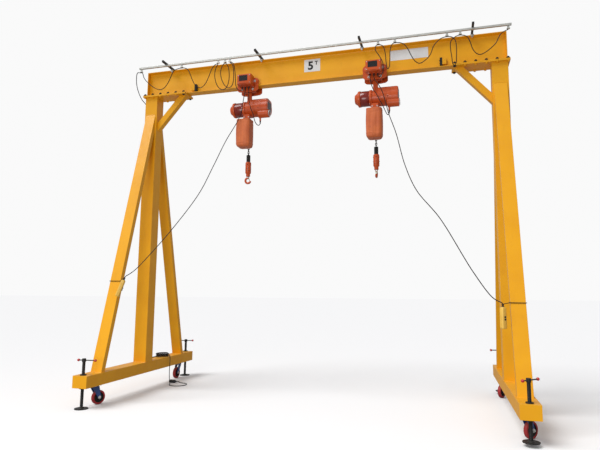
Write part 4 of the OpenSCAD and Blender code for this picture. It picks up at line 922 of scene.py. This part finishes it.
# %% Pendants
def case(half_x, half_y, stations, power=4.0, steps=48):
    """At each station (height, share) a curve |x/a|^p + |y/b|^p = 1 scaled by the share."""
    t = np.arange(steps) * 2 * np.pi / steps
    flat = (np.abs(np.cos(t)) ** power + np.abs(np.sin(t)) ** power) ** (-1 / power)
    z, s = np.asarray(stations, float).T
    x = half_x * np.outer(s, flat * np.cos(t))
    y = half_y * np.outer(np.clip(s * 1.08, 0, 1), flat * np.sin(t))
    p = np.stack([x, y, np.repeat(z[:, None], steps, 1)], -1)
    return p.reshape(-1, 3), grid_faces(len(z), steps)


PENDANTS = {"left": ((-2662, -975, 1800), 22, 110), "right": ((2700, -1000, 1490), 0, 40)}
stations = [(-6, 0), (-6, .45), (-8, .52), (-14, .66), (-18, .84), (-24, .90), (-60, .93), (-150, .97), (-252, 1),
            (-262, .97), (-268, .86), (-270, .7), (-270, 0)]
for side, (at, lean, angle) in PENDANTS.items():
    parts = [(case(37, 30, stations), CASE_YELLOW)]
    for z in (-128, -157):
        parts.append((aimed(lathe([(0, -2), (12.5, -2), (12.5, 3), (11, 4.5), (0, 4.5)], 28), (0, -28, z), (0, -1, 0)), BLACK))
        parts.append((aimed(lathe([(0, 0), (8.5, 0), (8.5, 8), (6.5, 10), (0, 10.5)], 28), (0, -31, z), (0, -1, 0)), PLATE_BLACK))
    for z in (-82, -203):
        parts.append((aimed(lathe([(0, -2), (11, -2), (11, 2.2), (10, 3), (0, 3.4)], 28), (0, -28, z), (0, -1, 0)), CASE_YELLOW))
    loop = [(37 * s, 0, z) for z, s in stations[2:12]] + [(-37 * s, 0, z) for z, s in stations[11:1:-1]]
    parts.append((tube(np.array(loop), 0.5, 6), RUBBER))
    sleeve = [(0, -8), (17, -8), (17, -2), (14, 0), (15, 2), (12.6, 4), (13.4, 6), (11, 8), (11.8, 10), (9.4, 13), (0, 13.5)]
    parts.append((lathe(sleeve, 24), RUBBER))
    parts += [(aimed(lathe([(0, 0), (3.2, 0), (2.6, 1.6), (0, 2)], 12), (x, 28.6, z), (0, 1, 0)), BRIGHT) for x in (-24, 24) for z in (-40, -236)]
    made = piece(side + "_push_button_pendant", [(placed(placed(s, (0, 0, 0), (0, 0, angle)), at, (0, lean, 0)), f) for s, f in parts], "root")
    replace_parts(made, "pendants")
print("pendant", len(made.data.polygons), "faces")

# %% [markdown]
# The studio is a plain pale floor under soft light: a broad sun from high on the left, a large
# lamp low in front as through an open door, and an even grey from all round. The background is
# white only where the camera sees it, directly or through glass, so it adds no light to the paint.

# %% Studio
def seen_directly(nt, *kinds):
    """1 for the rays of the kinds named, 0 for the light that only bounces."""
    rays = nt.nodes.new("ShaderNodeLightPath")
    value = rays.outputs[kinds[0]]
    for kind in kinds[1:]:
        either = nt.nodes.new("ShaderNodeMath")
        either.operation = "MAXIMUM"
        nt.links.new(value, either.inputs[0])
        nt.links.new(rays.outputs[kind], either.inputs[1])
        value = either.outputs["Value"]
    return value


def floor_material():
    """Near white where the camera looks, grey as a concrete floor for the light that bounces off it."""
    m = bpy.data.materials.new("studio_floor")
    m.use_nodes = True
    nt = m.node_tree
    shader = nt.nodes["Principled BSDF"]
    nt.links.new(mixed(nt, seen_directly(nt, "Is Camera Ray"), (0.36, 0.35, 0.34), (0.95, 0.95, 0.95)), shader.inputs["Base Color"])
    shader.inputs["Roughness"].default_value = 0.95
    shader.inputs["Specular IOR Level"].default_value = 0.0
    return m


floor_mesh = bpy.data.meshes.new("studio_floor")
floor_mesh.from_pydata([(-90, -60, 0), (90, -60, 0), (90, 120, 0), (-90, 120, 0)], [], [(0, 1, 2, 3)])
floor_mesh.materials.append(floor_material())
floor = bpy.data.objects.new("studio_floor", floor_mesh)
scene.collection.objects.link(floor)

world = bpy.data.worlds.new("studio")
world.use_nodes = True
scene.world = world
nt = world.node_tree
back = nt.nodes["Background"]
back.inputs["Color"].default_value = (0.88, 0.88, 0.9, 1)
back.inputs["Strength"].default_value = 0.5
seen = nt.nodes.new("ShaderNodeBackground")
seen.inputs["Color"].default_value = (0.955, 0.955, 0.955, 1)
choose = nt.nodes.new("ShaderNodeMixShader")
nt.links.new(seen_directly(nt, "Is Camera Ray", "Is Transmission Ray"), choose.inputs[0])
nt.links.new(back.outputs[0], choose.inputs[1])
nt.links.new(seen.outputs[0], choose.inputs[2])
nt.links.new(choose.outputs[0], nt.nodes["World Output"].inputs["Surface"])


def lamp(name, kind, place, target, size, power):
    """A lamp, itself unseen, from its place towards its target: a square of a size in metres, or a sun of an angle in degrees."""
    light = bpy.data.lights.new(name, kind)
    light.energy = power
    if kind == "SUN":
        light.angle = math.radians(size)
    else:
        light.size = size
    obj = bpy.data.objects.new(name, light)
    obj.location = place
    obj.rotation_euler = (Vector(target) - Vector(place)).to_track_quat("-Z", "Y").to_euler()
    obj.visible_camera = False
    scene.collection.objects.link(obj)


lamp("broad_sun", "SUN", (-5, -4.5, 9), (0, 0, 0), 35, 2.1)
lamp("door_lamp", "AREA", (-1.5, -10, 2.5), (0, 0, 1.2), 4, 330)
scene.view_settings.view_transform = "Standard"
